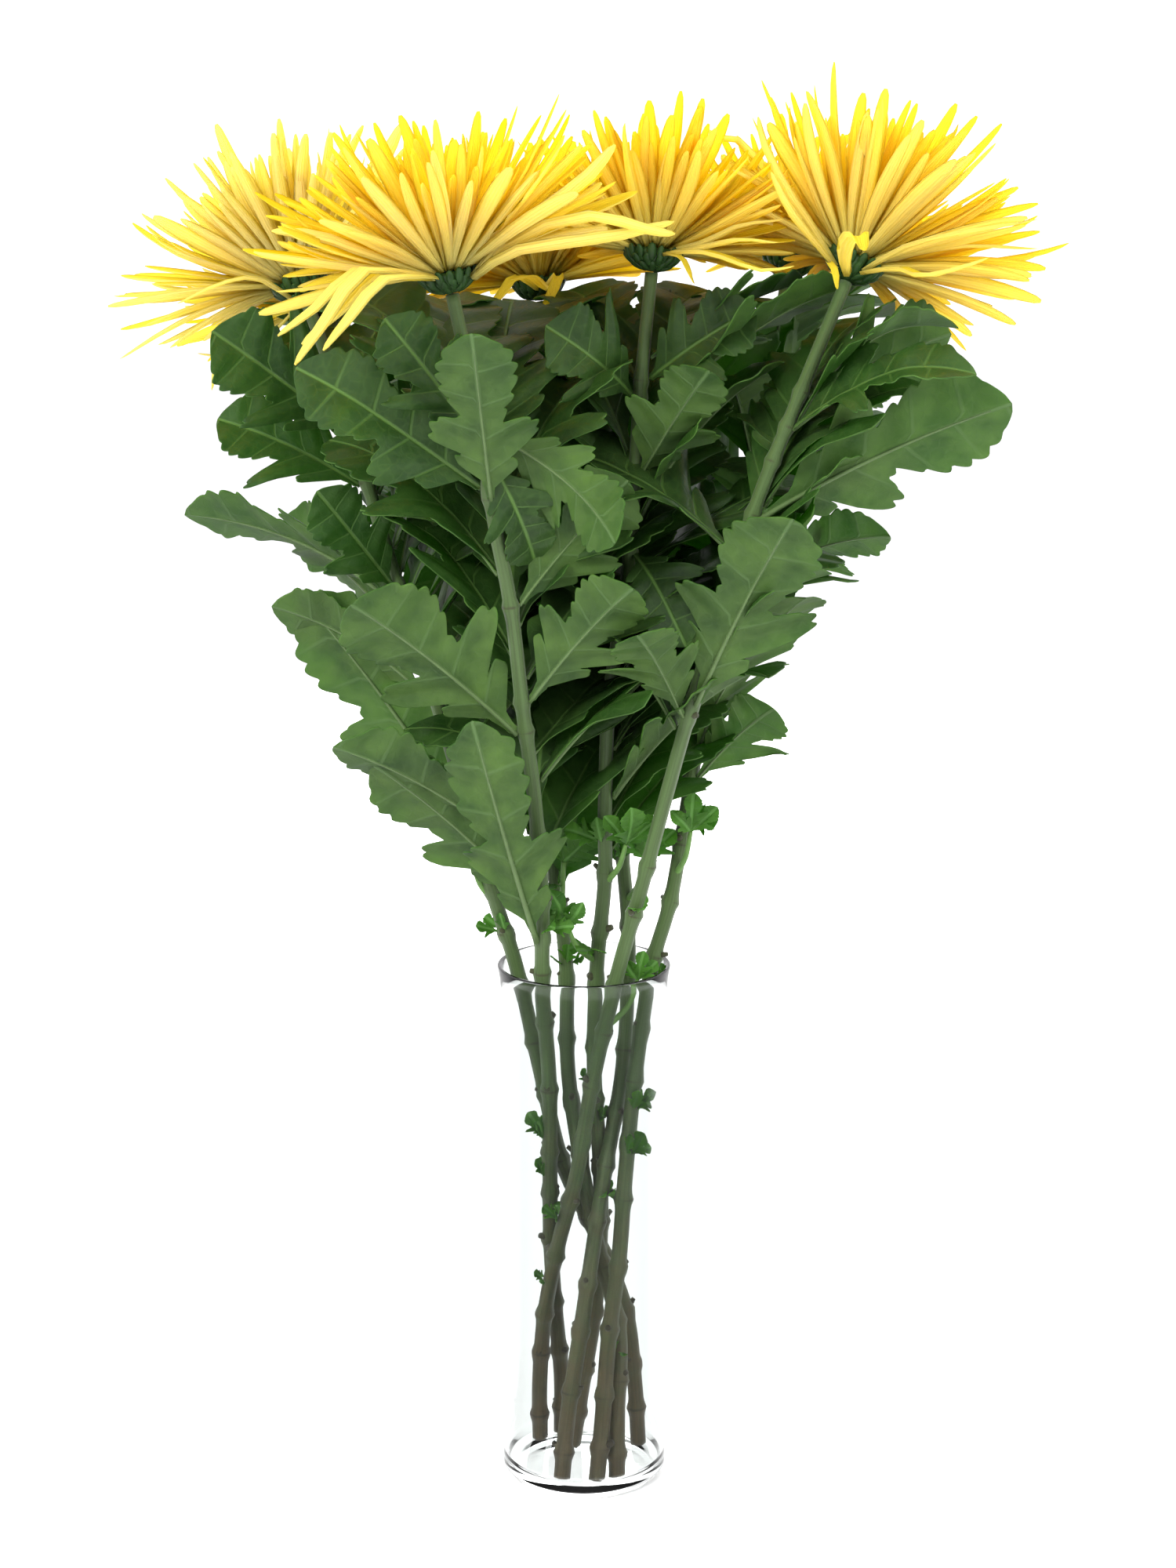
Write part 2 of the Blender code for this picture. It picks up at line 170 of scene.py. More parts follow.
STEMS = {
    "left": Stem(
        route=(
            (0.028, 0.014, 0.006), (0.026, 0.014, 0.040), (0.021, 0.014, 0.080),
            (0.006, 0.013, 0.120), (-0.011, 0.008, 0.160), (-0.022, 0.004, 0.210),
            (-0.033, 0.001, 0.262), (-0.044, -0.003, 0.300), (-0.056, -0.007, 0.345),
            (-0.070, -0.008, 0.395), (-0.086, -0.008, 0.445), (-0.099, -0.005, 0.490),
            (-0.112, 0.000, 0.535), (-0.130, 0.008, 0.584),
        ),
        floret=0.072,
        leaves=(
            Leaf(0.525, (-0.169, -0.034, 0.572), FRONT, 0.058, 0.004),
            Leaf(0.500, (-0.172, -0.002, 0.530), (0, -1, 0.8), 0.052, 0.006),
            Leaf(0.452, (-0.122, -0.042, 0.500), FRONT, 0.036, 0.002),
            Leaf(0.445, (-0.192, 0.020, 0.483), (0, 0.6, 1), 0.056, 0.010),
            Leaf(0.420, (-0.150, 0.062, 0.474), (-0.3, 0.8, 0.6), 0.050, 0.006),
            Leaf(0.345, (-0.136, 0.010, 0.445), BACK, 0.060, 0.006),
        ),
    ),
    "front_left": Stem(
        route=(
            (-0.012, 0.029, 0.006), (-0.012, 0.025, 0.040), (-0.015, 0.017, 0.080),
            (-0.017, 0.009, 0.120), (-0.017, -0.001, 0.160), (-0.017, -0.012, 0.210),
            (-0.020, -0.023, 0.262), (-0.020, -0.031, 0.305), (-0.023, -0.042, 0.355),
            (-0.028, -0.053, 0.400), (-0.033, -0.065, 0.450), (-0.040, -0.073, 0.490),
            (-0.046, -0.080, 0.535), (-0.057, -0.086, 0.590),
        ),
        floret=0.078,
        leaves=(
            Leaf(0.505, (-0.125, -0.082, 0.560), FRONT, 0.046, 0.004, hook=0.010),
            Leaf(0.390, (-0.103, -0.092, 0.455), BACK, 0.066, 0.006),
            Leaf(0.405, (0.022, -0.090, 0.462), BACK, 0.046, 0.006),
            Leaf(0.325, (-0.115, -0.062, 0.385), (0, 1, 1), 0.052, 0.008),
            Leaf(0.285, (-0.050, -0.088, 0.402), BACK, 0.038, -0.004),
            Leaf(0.450, (0.020, -0.060, 0.507), BACK, 0.052, 0.004),
            Leaf(0.500, (-0.047, -0.128, 0.575), (0, 1, 0.2), 0.044, 0.000),
            Leaf(0.530, (-0.086, -0.096, 0.580), FRONT, 0.040, 0.004),
            Leaf(0.530, (0.014, -0.108, 0.484), BACK, 0.040, 0.014),
        ),
    ),
    "back_left": Stem(
        route=(
            (0.016, -0.027, 0.006), (0.016, -0.024, 0.040), (0.017, -0.015, 0.080),
            (0.007, -0.005, 0.120), (-0.001, -0.001, 0.160), (-0.008, 0.003, 0.210),
            (-0.009, 0.012, 0.262), (-0.014, 0.020, 0.300), (-0.021, 0.035, 0.347),
            (-0.041, 0.060, 0.414), (-0.073, 0.085, 0.482), (-0.105, 0.100, 0.536),
            (-0.124, 0.108, 0.575),
        ),
        floret=0.068,
        leaves=(
            Leaf(0.510, (-0.066, 0.040, 0.430), FRONT, 0.044, 0.010),
            Leaf(0.470, (-0.130, 0.140, 0.495), UP, 0.060, 0.002),
            Leaf(0.420, (-0.075, 0.148, 0.440), UP, 0.060, 0.008),
            Leaf(0.345, (-0.100, 0.095, 0.385), UP, 0.062, 0.012),
        ),
    ),
    "middle": Stem(
        route=(
            (-0.006, 0.012, 0.006), (-0.001, 0.010, 0.040), (0.005, 0.007, 0.080),
            (0.008, 0.004, 0.120), (0.008, 0.001, 0.160), (0.005, -0.004, 0.210),
            (0.006, -0.008, 0.262), (0.010, -0.012, 0.310), (0.010, -0.015, 0.345),
            (0.012, -0.018, 0.400), (0.020, -0.022, 0.455), (0.023, -0.024, 0.495),
            (0.026, -0.024, 0.545), (0.031, -0.020, 0.598),
        ),
        floret=0.068,
        leaves=(
            Leaf(0.542, (-0.017, -0.050, 0.575), FRONT, 0.046, 0.006),
            Leaf(0.550, (0.078, -0.034, 0.582), FRONT, 0.044, 0.006),
            Leaf(0.505, (0.056, -0.064, 0.556), BACK, 0.040, 0.004),
            Leaf(0.470, (0.047, -0.054, 0.430), FRONT, 0.036, 0.010),
        ),
    ),
    "back_middle": Stem(
        route=(
            (-0.011, -0.029, 0.006), (-0.008, -0.026, 0.040), (-0.002, -0.021, 0.080),
            (0.004, -0.014, 0.120), (0.010, -0.008, 0.160), (0.019, 0.004, 0.210),
            (0.022, 0.015, 0.262), (0.020, 0.028, 0.301), (0.012, 0.045, 0.365),
            (0.000, 0.062, 0.442), (-0.012, 0.076, 0.518), (-0.021, 0.083, 0.582),
        ),
        floret=0.068,
        leaves=(
            Leaf(0.520, (0.024, 0.045, 0.580), FRONT, 0.046, 0.006),
            Leaf(0.470, (0.025, 0.140, 0.510), UP, 0.060, 0.014),
            Leaf(0.400, (-0.015, 0.130, 0.420), UP, 0.060, 0.014),
            Leaf(0.385, (-0.010, 0.002, 0.342), FRONT, 0.030, 0.006),
        ),
    ),
    "back_right": Stem(
        route=(
            (0.006, -0.031, 0.006), (0.009, -0.029, 0.040), (0.012, -0.024, 0.080),
            (0.017, -0.018, 0.120), (0.020, -0.013, 0.160), (0.025, -0.006, 0.210),
            (0.033, 0.001, 0.262), (0.043, 0.010, 0.297), (0.054, 0.034, 0.355),
            (0.067, 0.055, 0.411), (0.083, 0.078, 0.483), (0.094, 0.090, 0.545),
            (0.101, 0.095, 0.593),
        ),
        floret=0.070,
        leaves=(
            Leaf(0.440, (0.150, 0.040, 0.470), (0, 1, 0.8), 0.050, 0.010),
            Leaf(0.350, (0.092, 0.010, 0.390), (0, 1, 0.3), 0.040, 0.006),
            Leaf(0.500, (0.105, 0.150, 0.540), UP, 0.060, 0.014),
            Leaf(0.400, (0.075, 0.130, 0.440), UP, 0.060, 0.014),
            Leaf(0.480, (0.168, 0.100, 0.520), UP, 0.058, 0.012),
        ),
    ),
    "right": Stem(
        route=(
            (-0.023, 0.021, 0.006), (-0.023, 0.016, 0.040), (-0.020, 0.008, 0.080),
            (-0.013, -0.001, 0.120), (-0.004, -0.014, 0.160), (0.004, -0.018, 0.210),
            (0.015, -0.024, 0.262), (0.026, -0.029, 0.305), (0.036, -0.032, 0.345),
            (0.048, -0.038, 0.392), (0.061, -0.045, 0.440), (0.078, -0.050, 0.494),
            (0.098, -0.046, 0.545), (0.119, -0.032, 0.594),
        ),
        floret=0.080,
        leaves=(
            Leaf(0.402, (0.092, -0.092, 0.493), BACK, 0.056, 0.006),
            Leaf(0.490, (0.190, -0.072, 0.542), BACK, 0.054, 0.008),
            Leaf(0.545, (0.170, -0.012, 0.570), BACK, 0.046, 0.004),
            Leaf(0.530, (0.165, -0.092, 0.565), (0, -0.6, 1), 0.042, 0.006, hook=0.012),
            Leaf(0.515, (0.096, 0.000, 0.551), (0, 1, 0), 0.030, 0.004),
            Leaf(0.395, (0.024, -0.084, 0.440), BACK, 0.040, 0.006),
        ),
    ),
}

# Leaves that have no solid of their own and are placed one by one, by stem
EXTRA_LEAVES = {
    "front_left": (
        Leaf(0.515, (-0.022, -0.060, 0.470), FRONT, 0.036, 0.008),
        Leaf(0.303, (-0.098, -0.048, 0.374), (0, 1, 0.6), 0.050, 0.006),
    ),
    "left": (
        Leaf(0.400, (-0.150, 0.010, 0.440), (0, 1, 0.8), 0.050, 0.008),
    ),
    "back_left": (
        Leaf(0.470, (-0.083, 0.040, 0.548), BACK, 0.046, 0.006),
        Leaf(0.300, (0.000, 0.018, 0.352), FRONT, 0.040, 0.004),
        Leaf(0.318, (-0.052, 0.040, 0.372), BACK, 0.046, 0.004),
    ),
    "back_middle": (
        Leaf(0.490, (0.040, 0.030, 0.545), FRONT, 0.040, 0.014),
    ),
}

# Leaves that fill the bunch from inside, one at each node from here up
INNER_LOWEST = 0.325
INNER_STEP = 0.0125
INNER_SPACE = 0.0145
INNER_TRIES = 40
# The bunch widens with height like a V: (half width at INNER_LOWEST, widening) to each side
SPREAD_SIDE = (0.042, 0.50)
SPREAD_BACK = (0.050, 0.52)
SPREAD_FRONT = (0.030, 0.06)
# Between these heights the tip of such a leaf stays, and this far under the head its stalk
INNER_LOWEST_TIP = 0.345
INNER_HIGHEST = 0.598
INNER_HEADROOM = 0.032
INNER_RISES = (0.45, 1.1)
INNER_LENGTHS = (0.078, 0.115)
INNER_WIDTHS = (0.052, 0.068)
INNER_ROWS = 54

# Where the blade's lobes leave the midrib: (share of the length, breadth, half of the lobe's own run)
LOBES = (
    (0.150, 0.56, 0.064),
    (0.320, 1.00, 0.116),
    (0.725, 0.60, 0.275),
)
LEAF_COLUMNS = (-1.0, -0.95, -0.82, -0.62, -0.40, -0.18, 0.0, 0.18, 0.40, 0.62, 0.82, 0.95, 1.0)
LOBE_POWER = 4
# A lobe is a band with a round end, which slants forward with its vein
LOBE_ROUND = 0.26
LOBE_SLANT = 0.62
TIP_BLUNTNESS = 2.0
TIP_TAPER = 0.62
# How far the blade reaches between two lobes, as a share of its widest
BODY_WIDTHS = (0.28, 0.42)
# How much the terminal lobe's breadth varies, and how far the side veins slant forward
END_BREADTHS = (0.85, 1.2)
VEIN_SLANTS = (0.75, 1.3)
TEETH = 11
TOOTH_DEPTH = 0.0027
# Share of a tooth's run that its rising side takes
TOOTH_RISE = 0.66
QUILT_DEPTH = 0.0007
RUFFLE_DEPTH = 0.0042
MIDRIB_RADIUS = 0.0011
LEAST_RIB = 0.0005
# The midrib stands out over this share of the length, in so many steps, and tapers by this share
MIDRIB_RUN = 0.92
MIDRIB_STEPS = 14
MIDRIB_TAPER = 0.85
# The lightest, yellower blotches of a leaf, as gains on red, green and blue: partly the leaf's own
# mottling, partly a painted glow of light through the blade
BLOTCH_AND_GLOW_GAINS = (1.55, 1.38, 1.0)
# A leaf this long has the teeth, waves and midrib above, and a smaller one has them in proportion
GROWN_LENGTH = 0.095
# The leaves are this much broader than their solids
LEAF_SPREAD = 1.14

# A floret from its base to its tip: (share of the length, share of the width, gutter depth)
FLORET_ROWS = (
    (0.0, 0.46, 0.85),
    (0.14, 0.58, 0.8),
    (0.30, 0.76, 0.7),
    (0.46, 0.93, 0.55),
    (0.62, 1.0, 0.46),
    (0.77, 0.94, 0.42),
    (0.89, 0.76, 0.42),
    (0.965, 0.54, 0.36),
    (1.0, 0.22, 0.2),
)
# Round a floret: (place across, share of the gutter depth, 1 on the inner side)
FLORET_RING = (
    (-1.0, 0.0, 0),
    (-0.55, -1.0, 0),
    (0.55, -1.0, 0),
    (1.0, 0.0, 0),
    (0.5, -1.0, 1),
    (-0.5, -1.0, 1),
)
FLORET_THICKNESS = 0.0006
FLORET_RIBS = 16
# The ring that the flattest florets grow from, and how far a head may reach into the next one
SEAT_RADIUS = 0.0098
HEAD_OVERLAP = 0.014
# How much a floret varies, as shares of the head's own measures
REACHES = (0.74, 1.10)
WIDTHS = (0.72, 1.18)
# How much shorter and narrower the florets in the middle are
YOUNG_SHORTER = 0.32
YOUNG_NARROWER = 0.36
# How far a flat floret rises before it arches over, and the leans from the stem that are flat
ARCH_RISE = 0.16
FLAT_LEANS = (1.05, 1.5)
# How far the angle of a floret strays, in radians
STRAY_LEAN = 0.08
STRAY_TURN = 0.15
# How far the florets on the viewer's side are lifted, as a share of their lean from the stem
FRONT_LIFT = 0.38
# How far the florets have paled, by flower: the least, in the middle, and the most, outside. The left
# flower's paleness is partly its own colour and partly painted light that lifts the shade on that head
PALED = {"left": (0.9, 1.0), "right": (0.05, 0.6), "front_left": (0.05, 0.8)}
PALED_ELSEWHERE = (0.0, 0.4)

# Tips of the tall florets that stand above the rest of a head, by flower
TALL_TIPS = {
    "front_left": (
        (-0.0104, -0.085, 0.6744), (-0.0075, -0.070, 0.6684), (-0.0283, -0.085, 0.6695),
        (-0.0453, -0.080, 0.6671), (-0.0690, -0.080, 0.6615), (-0.0886, -0.080, 0.6598),
        (-0.0970, -0.090, 0.6579),
    ),
    "right": (
        (0.1087, -0.030, 0.6665), (0.0938, -0.050, 0.6641), (0.0789, 0.020, 0.6683),
    ),
}
TALL_WIDTH = 0.0048
TALL_PALED = 0.3

# Long florets with a bend of their own, by flower: (route, width, where the inner side faces)
LONG_FLORETS = {
    "front_left": (
        (((-0.048, -0.092, 0.598), (-0.030, -0.108, 0.618), (-0.012, -0.122, 0.630),
          (0.002, -0.132, 0.640), (0.013, -0.138, 0.652)), 0.0085, (-0.5, 0.6, 0.7)),
        (((-0.047, -0.092, 0.598), (-0.031, -0.110, 0.609), (-0.008, -0.122, 0.613),
          (0.015, -0.128, 0.616), (0.038, -0.126, 0.621)), 0.0080, (0, 0.6, 1)),
        (((-0.047, -0.092, 0.598), (-0.028, -0.108, 0.615), (-0.002, -0.128, 0.624),
          (0.015, -0.136, 0.622), (0.028, -0.138, 0.618), (0.038, -0.138, 0.616)), 0.0080, (0, 0.5, 1)),
        (((-0.062, -0.096, 0.596), (-0.076, -0.120, 0.598), (-0.088, -0.132, 0.598),
          (-0.099, -0.140, 0.586), (-0.117, -0.142, 0.571)), 0.0076, DROOP),
        (((-0.062, -0.096, 0.596), (-0.079, -0.124, 0.599), (-0.093, -0.140, 0.599),
          (-0.105, -0.150, 0.582), (-0.119, -0.152, 0.563)), 0.0080, DROOP),
        (((-0.062, -0.096, 0.596), (-0.085, -0.112, 0.598), (-0.098, -0.122, 0.599),
          (-0.111, -0.130, 0.586), (-0.128, -0.132, 0.574)), 0.0068, DROOP),
        (((-0.062, -0.096, 0.596), (-0.073, -0.130, 0.597), (-0.084, -0.144, 0.596),
          (-0.095, -0.152, 0.583), (-0.107, -0.154, 0.569)), 0.0070, DROOP),
        (((-0.064, -0.094, 0.597), (-0.088, -0.110, 0.605), (-0.110, -0.118, 0.614),
          (-0.131, -0.120, 0.617)), 0.0076, DROOP),
    ),
    "middle": (
        (((0.036, -0.030, 0.607), (0.043, -0.052, 0.606), (0.046, -0.062, 0.601),
          (0.049, -0.064, 0.594)), 0.0030, UP),
        (((0.036, -0.030, 0.607), (0.051, -0.056, 0.609), (0.064, -0.070, 0.606),
          (0.077, -0.078, 0.601), (0.092, -0.080, 0.602)), 0.0062, UP),
        (((0.036, -0.026, 0.607), (0.055, -0.046, 0.611), (0.070, -0.058, 0.614),
          (0.086, -0.064, 0.612)), 0.0060, UP),
        (((0.036, -0.024, 0.608), (0.055, -0.036, 0.613), (0.070, -0.044, 0.620),
          (0.089, -0.048, 0.622)), 0.0060, UP),
    ),
    "right": (
        (((0.126, -0.040, 0.600), (0.145, -0.058, 0.612), (0.171, -0.070, 0.618),
          (0.198, -0.074, 0.622)), 0.0064, UP),
        (((0.126, -0.034, 0.600), (0.151, -0.036, 0.608), (0.176, -0.036, 0.611),
          (0.205, -0.034, 0.609)), 0.0060, UP),
        (((0.125, -0.044, 0.599), (0.138, -0.070, 0.602), (0.147, -0.084, 0.599),
          (0.158, -0.092, 0.601), (0.174, -0.098, 0.606)), 0.0064, UP),
        (((0.127, -0.030, 0.599), (0.149, -0.018, 0.601), (0.173, -0.010, 0.600),
          (0.208, -0.004, 0.596)), 0.0062, UP),
        (((0.114, -0.040, 0.601), (0.101, -0.058, 0.615), (0.091, -0.066, 0.626),
          (0.082, -0.070, 0.642)), 0.0058, (1, 0.6, 0.6)),
        (((0.114, -0.038, 0.602), (0.102, -0.048, 0.620), (0.092, -0.052, 0.633),
          (0.081, -0.054, 0.652), (0.077, -0.052, 0.666)), 0.0055, (1, 0.6, 0.4)),
        (((0.113, -0.044, 0.600), (0.108, -0.066, 0.604), (0.110, -0.076, 0.600),
          (0.111, -0.078, 0.592)), 0.0036, UP),
        (((0.118, -0.046, 0.599), (0.114, -0.076, 0.607), (0.114, -0.096, 0.615),
          (0.117, -0.108, 0.617), (0.119, -0.112, 0.609)), 0.0095, UP),
    ),
    "back_right": (
        (((0.096, 0.090, 0.600), (0.092, 0.070, 0.625), (0.080, 0.058, 0.656),
          (0.067, 0.054, 0.660), (0.058, 0.050, 0.664)), 0.0050, (0.6, 0.6, 0.6)),
    ),
    "left": (
        (((-0.133, 0.002, 0.584), (-0.150, -0.010, 0.596), (-0.167, -0.016, 0.594),
          (-0.187, -0.018, 0.584)), 0.0060, UP),
        (((-0.133, 0.000, 0.582), (-0.146, -0.016, 0.579), (-0.160, -0.024, 0.573),
          (-0.169, -0.026, 0.560), (-0.171, -0.026, 0.545)), 0.0060, (-0.6, 0, 0.8)),
        (((-0.134, 0.010, 0.583), (-0.153, 0.010, 0.564), (-0.164, 0.010, 0.559),
          (-0.182, 0.010, 0.560)), 0.0045, UP),
    ),
    "back_middle": (
        (((-0.017, 0.083, 0.588), (-0.021, 0.050, 0.592), (-0.026, 0.036, 0.596),
          (-0.035, 0.026, 0.594)), 0.0060, UP),
        (((-0.021, 0.080, 0.587), (-0.012, 0.046, 0.597), (-0.015, 0.030, 0.588),
          (-0.020, 0.024, 0.579)), 0.0060, UP),
        (((-0.021, 0.080, 0.587), (-0.032, 0.050, 0.596), (-0.039, 0.036, 0.588),
          (-0.046, 0.030, 0.580)), 0.0060, UP),
    ),
}

# Young shoots at the nodes, by stem: (height, direction round the stem in degrees, leaf length)
SHOOTS = {
    "front_left": ((0.178, 190, 0.012), (0.157, 200, 0.007), (0.290, 330, 0.012)),
    "right": ((0.134, 185, 0.009), (0.099, 190, 0.006), (0.300, 300, 0.007)),
    "back_right": (
        (0.194, -20, 0.011), (0.172, -40, 0.012), (0.255, 10, 0.008),
        (0.330, -30, 0.016),
    ),
    "middle": ((0.205, 250, 0.008), (0.186, 300, 0.007), (0.275, 240, 0.013), (0.330, 200, 0.016)),
    "back_middle": ((0.150, 320, 0.007), (0.310, 240, 0.014)),
    "back_left": ((0.070, 230, 0.007), (0.300, 250, 0.014), (0.262, 280, 0.010)),
    "left": ((0.283, 200, 0.011),),
}

# Side shoots, by stem: (height, where the shoot ends, length of its leaves)
SIDE_SHOOTS = {
    "left": ((0.296, (-0.054, -0.006, 0.318), 0.022),),
    "middle": ((0.308, (0.020, -0.024, 0.330), 0.026), (0.268, (-0.008, -0.022, 0.290), 0.020)),
    "back_left": ((0.285, (-0.010, 0.008, 0.314), 0.036),),
    "back_right": ((0.306, (0.052, 0.004, 0.330), 0.022),),
    "back_middle": ((0.290, (0.030, 0.012, 0.314), 0.026),),
    "right": ((0.238, (0.026, -0.020, 0.262), 0.016),),
}
TWIG_RADIUS = 0.0015
SHOOT_THICKNESS = 0.0004
SHOOT_ROWS = 40


def linear(code):
    """A colour from an sRGB hex code, as linear values."""
    values = [int(code[i : i + 2], 16) / 255 for i in (1, 3, 5)]
    return tuple(v / 12.92 if v <= 0.04045 else ((v + 0.055) / 1.055) ** 2.4 for v in values)


def colour_setting(name, description, code):
    """A colour that a user may change, given as an sRGB hex code."""
    return bpy.props.FloatVectorProperty(
        name=name, description=description, default=linear(code), size=3, subtype="COLOR",
        min=0.0, max=1.0,
    )


def length_setting(name, description, default, least, most):
    """A length that a user may change between two limits."""
    return bpy.props.FloatProperty(
        name=name, description=description, default=default, min=least, max=most, unit="LENGTH",
    )


class VaseSettings(bpy.types.PropertyGroup):
    """Sizes and colour of the glass cylinder."""

    wall: length_setting("Wall", "Thickness of the glass wall", 0.0025, 0.001, 0.004)
    corner: length_setting("Corner", "Rounding of the foot and the lip", 0.0009, 0.0002, 0.002)
    glass: colour_setting("Glass", "Tint of the glass", "#fbfefd")


class StemSettings(bpy.types.PropertyGroup):
    """Sizes and colours of the stems."""

    node_gap: length_setting("Node gap", "Distance between two nodes of a stem", 0.030, 0.01, 0.1)
    swelling: bpy.props.FloatProperty(
        name="Swelling", description="How far a node stands out, as a share of the radius",
        default=0.34, min=0.0, max=0.6, subtype="FACTOR",
    )
    green: colour_setting("Green", "Colour of the upper stem", "#41582c")
    brown: colour_setting("Brown", "Colour of the woody foot", "#57492e")


class LeafSettings(bpy.types.PropertyGroup):
    """Thickness and colours of the leaves."""

    thickness: length_setting("Thickness", "Thickness of a blade", 0.0006, 0.0002, 0.0009)
    upper: colour_setting("Upper side", "Colour of the upper side", "#233a1c")
    under: colour_setting("Underside", "Colour of the underside", "#405b32")
    glow: colour_setting("Glow", "Colour of light that comes through a blade", "#86d234")


class FlowerSettings(bpy.types.PropertyGroup):
    """Number, width and colours of the florets."""

    count: bpy.props.IntProperty(
        name="Florets", description="Number of florets in a head", default=190, min=20, max=400
    )
    width: length_setting("Width", "Width of a floret at its widest", 0.0066, 0.002, 0.012)
    outer: colour_setting("Outer side", "Colour of a floret's outer side", "#fdf3ae")
    inner: colour_setting("Inner side", "Colour of a floret's inner side", "#fff05a")


class StageSettings(bpy.types.PropertyGroup):
    """The floor and the light."""

    floor: colour_setting("Floor", "Colour of the floor", "#fafafa")
    surround: bpy.props.FloatProperty(
        name="Surround", description="Strength of the light from behind", default=1.28,
        min=0.0, max=10.0,
    )


def add_node(tree, kind, settings=None, inputs=None, output=0):
    """Adds a node, sets its attributes, sets or links its inputs, and gives one of its outputs."""
    made = tree.nodes.new(kind)
    for name, value in (settings or {}).items():
        setattr(made, name, value)
    for name, value in (inputs or {}).items():
        if isinstance(value, bpy.types.NodeSocket):
            tree.links.new(value, made.inputs[name])
        else:
            made.inputs[name].default_value = value
    return made.outputs[output] if made.outputs else made


def rgba(colour):
    return (*colour, 1.0)


def shaded(colour, factor):
    """The colour, darkened or lightened evenly."""
    return tuple(min(1.0, c * factor) for c in colour)


def new_material(name):
    """An empty material of this name, and its node tree."""
    made = bpy.data.materials.get(name) or bpy.data.materials.new(name)
    made.use_nodes = True
    made.node_tree.nodes.clear()
    return made, made.node_tree


def finished(made, shader):
    """The material, with this shader on its surface."""
    add_node(made.node_tree, "ShaderNodeOutputMaterial", inputs={"Surface": shader})
    return made


def object_place(tree):
    """Object coordinates, in metres."""
    return add_node(tree, "ShaderNodeTexCoord", output=3)


def map_values(tree, name):
    """The first and the second value of the piece's own UV map."""
    place = add_node(tree, "ShaderNodeUVMap", {"uv_map": name})
    first = add_node(tree, "ShaderNodeSeparateXYZ", inputs={0: place})
    return first, first.node.outputs[1]


def noise(tree, place, scale, detail=2.0, roughness=0.5, output=0):
    return add_node(tree, "ShaderNodeTexNoise", inputs={
        "Vector": place, "Scale": scale, "Detail": detail, "Roughness": roughness,
    }, output=output)


def maths(tree, operation, *values, clamped=False):
    """One Math node, with its values in the node's own order."""
    return add_node(tree, "ShaderNodeMath", {
        "operation": operation, "use_clamp": clamped,
    }, dict(enumerate(values)))


def ramp(tree, value, start, end, low, high, kind="SMOOTHSTEP"):
    """Carries the range from start to end over to the range from low to high."""
    return add_node(tree, "ShaderNodeMapRange", {"interpolation_type": kind}, {
        0: value, 1: start, 2: end, 3: low, 4: high,
    })


def blend(tree, share, first, second):
    """Mixes two colours, each a socket or three linear values."""
    colours = [c if isinstance(c, bpy.types.NodeSocket) else rgba(c) for c in (first, second)]
    return add_node(tree, "ShaderNodeMix", {"data_type": "RGBA"}, {
        0: share, 6: colours[0], 7: colours[1],
    }, output=2)


def relief(tree, height, strength, distance):
    return add_node(tree, "ShaderNodeBump", inputs={
        "Strength": strength, "Distance": distance, "Height": height,
    })


def glass_material(settings):
    """Clear soda-lime glass, fire-polished: no haze, IOR 1.52, seen by its edges and reflections."""
    made, tree = new_material("clear soda-lime glass")
    return finished(made, add_node(tree, "ShaderNodeBsdfPrincipled", inputs={
        "Base Color": rgba(settings.glass), "Roughness": 0.0, "IOR": 1.52,
        "Transmission Weight": 1.0,
    }))


def stem_material(settings):
    """Chrysanthemum stem: ribbed green bark with a fine down, turning woody and brown at the foot."""
    made, tree = new_material("ribbed chrysanthemum stem")
    place = object_place(tree)
    height = add_node(tree, "ShaderNodeSeparateXYZ", inputs={0: place}, output=2)
    # Blotches of about 12 mm
    blotch = noise(tree, place, 80.0, 4.0, 0.6)
    wander = maths(tree, "MULTIPLY_ADD", blotch, 0.22, height)
    woody = ramp(tree, wander, 0.10, 0.34, 1.0, 0.0)
    # Streaks along the stem, 1 mm apart, from the place round the stem
    round_stem = add_node(tree, "ShaderNodeUVMap", {"uv_map": "stem"})
    stretched = add_node(tree, "ShaderNodeMapping", inputs={
        "Vector": round_stem, "Scale": (STEM_RIBS, 3.0, 1.0),
    })
    streak = noise(tree, stretched, 3.0, 3.0)
    barked = blend(tree, woody, settings.green, settings.brown)
    dark = ramp(tree, streak, 0.3, 0.7, 0.5, 0.0, "LINEAR")
    streaked = blend(tree, dark, barked, linear("#242c12"))
    # A dark scar rings each node
    apart, _ = map_values(tree, "node")
    scar = ramp(tree, apart, 0.0, 0.12, 0.75, 0.0)
    scarred = blend(tree, scar, streaked, linear("#2b2414"))
    grain = noise(tree, place, 900.0)
    height = maths(tree, "MULTIPLY_ADD", grain, 0.4, streak)
    return finished(made, add_node(tree, "ShaderNodeBsdfPrincipled", inputs={
        "Base Color": scarred, "Roughness": 0.55, "Normal": relief(tree, height, 0.5, 0.0006),
        "Sheen Weight": 0.15, "Sheen Roughness": 0.5,
    }))


